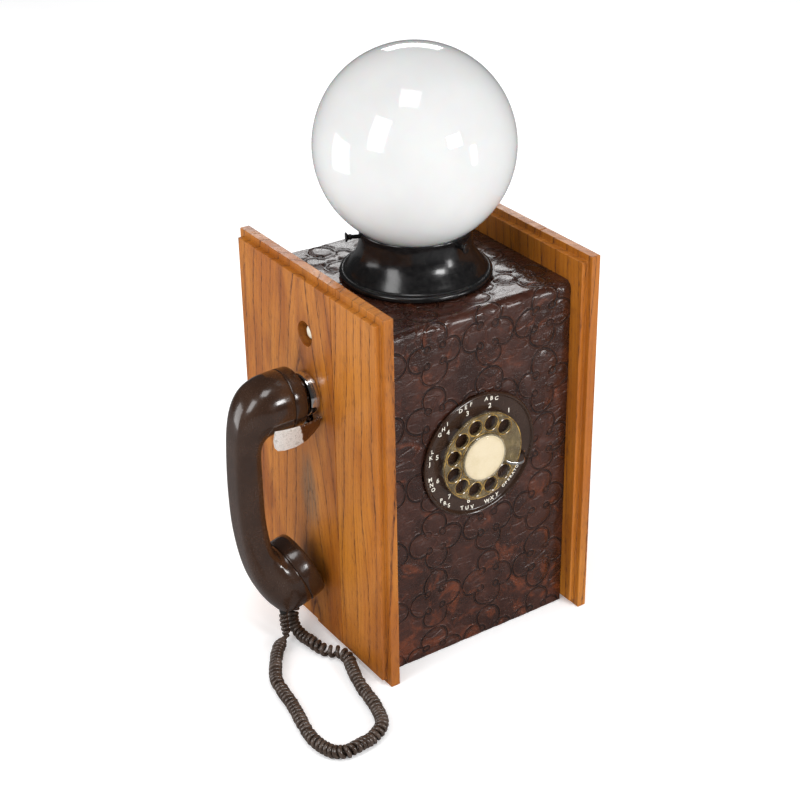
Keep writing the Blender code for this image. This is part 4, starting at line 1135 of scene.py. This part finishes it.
def hook():
    boss_y, radius = -0.002, 0.0178
    place(lathe("chrome_boss",
                [(0, 0.0998), (radius - 0.0004, 0.0998), (radius, 0.1002), (radius, 0.1030), (radius - 0.0005, 0.1040),
                 (radius - 0.0004, 0.1062), (radius - 0.0009, 0.1071), (radius - 0.0020, 0.1074), (0.0120, 0.1072),
                 (0.0105, 0.1064), (0.0040, 0.1064), (0.0036, 0.1078), (0, 0.1078)],
                (0, boss_y, EAR.z), (-1, 0, 0), LOOKS["chrome"], 96, 40), "hook_boss")
    soften("hook_fork", cradle_wear_and_reflection(), 0.0003, 2, 30)
    for node in ("hook_pin", "hook_bracket", "hook_contacts"):
        soften(node, LOOKS[SLOT_OF[node]], 0.0002, 2)


# ---------------------------------------------------------------- lamp

def lamp():
    low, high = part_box("globe")
    middle = (0, (low.y + high.y) / 2, 0)
    up = (0, 0, 1)
    fitter = [(0.0562, 0.2972), (0.0568, 0.2950), (0.0576, 0.2944), (0.0584, 0.2947), (0.0589, 0.2956),
              (0.0590, 0.2968), (0.0586, 0.2979), (0.0577, 0.2986), (0.0564, 0.2989), (0.0552, 0.2990),
              (0.0546, 0.2994), (0.0538, 0.3003), (0.0526, 0.3022), (0.0510, 0.3046), (0.0494, 0.3069),
              (0.0478, 0.3092), (0.0464, 0.3116), (0.0453, 0.3140), (0.0445, 0.3164), (0.0439, 0.3190),
              (0.0435, 0.3220), (0.0433, 0.3260), (0.0431, 0.3312), (0.0436, 0.3318), (0.0437, 0.3325),
              (0.0433, 0.3331), (0.0427, 0.3331), (0.0421, 0.3325), (0.0420, 0.3312), (0.0420, 0.3160),
              (0.0054, 0.3160), (0.0054, 0.3146), (0.0434, 0.3146), (0.0452, 0.3108), (0.0480, 0.3068),
              (0.0516, 0.3016), (0.0545, 0.2980)]
    place(lathe("fitter_spinning", fitter, middle, up, LOOKS["black_paint"], 128, 50), "lamp_fitter")
    globe_z = high.z - 0.0762
    profile = [(0.0370, 0.3170), (0.0378, 0.3164), (0.0400, 0.3164), (0.0410, 0.3168), (0.0413, 0.3178),
               (0.0411, 0.3190), (0.0402, 0.3202), (0.0394, 0.3214), (0.0392, 0.3230), (0.0392, 0.3290)]
    first = math.acos(0.0404 / 0.0762)
    steps = 56
    for k in range(steps + 1):
        turn = -first + (math.pi / 2 + first) * k / steps
        profile.append((0.0762 * math.cos(turn) if k < steps else 0, globe_z + 0.0762 * math.sin(turn)))
    inner = 0.0732
    first = math.acos(0.0385 / inner)
    shell = []
    for k in range(25):
        turn = math.pi / 2 - (math.pi / 2 + first) * k / 24
        shell.append((inner * math.cos(turn) if k else 0, globe_z + inner * math.sin(turn)))
    globe = glass_globe(profile, shell, middle)
    place(globe, "globe")
    for k in (1, 2, 3):
        soften(f"thumbscrew_{k}", LOOKS["black_paint"], 0.0002, 2, 40)
    for node in ("lamp_nipple", "lamp_nut_lower", "lamp_nut_upper", "lamp_socket", "bulb_base", "bulb_glass",
                 "lamp_switch_body", "lamp_button"):
        soften(node, LOOKS[SLOT_OF[node]], 0.00025, 2, 40)


def glass_globe(outer, inner, middle):
    """The globe's two walls, each closed on the axis and joined round the mouth."""
    segments = 112
    points = []
    rings = []
    for radius, height in outer + inner:
        if radius <= 0:
            rings.append([len(points)] * segments)
            points.append(Vector(middle) + Vector((0, 0, height)))
            continue
        rings.append(list(range(len(points), len(points) + segments)))
        for k in range(segments):
            turn = 2 * math.pi * k / segments
            points.append(Vector(middle) + Vector((radius * math.cos(turn), radius * math.sin(turn), height)))
    faces = []
    for i, lower in enumerate(rings):
        upper = rings[(i + 1) % len(rings)]
        if len(set(lower)) == 1 and len(set(upper)) == 1:
            continue
        for k in range(segments):
            j = (k + 1) % segments
            faces.append(list(dict.fromkeys((lower[k], lower[j], upper[j], upper[k]))))
    return piece("opal_globe", points, faces, LOOKS["opal_glass"], sharp=60)


def hardware():
    """Screws, bushings and the works behind the panels."""
    for node in NODES:
        if SLOT_OF[node] in ("steel", "brass", "rubber", "dark_plastic") and node not in DONE:
            soften(node, LOOKS[SLOT_OF[node]], 0.0002, 2, 40)


DONE = {"handset_grommet", "hook_pin", "hook_bracket", "hook_contacts", "lamp_nipple", "lamp_nut_lower",
        "lamp_nut_upper", "bulb_base", "lamp_switch_body", "dial_case", "dial_shaft", "pulse_cam"}


def main():
    camera()
    cords()
    floor()
    studio()
    boards()
    carcass()
    leather()
    dial()
    handset()
    hook()
    lamp()
    hardware()


main()
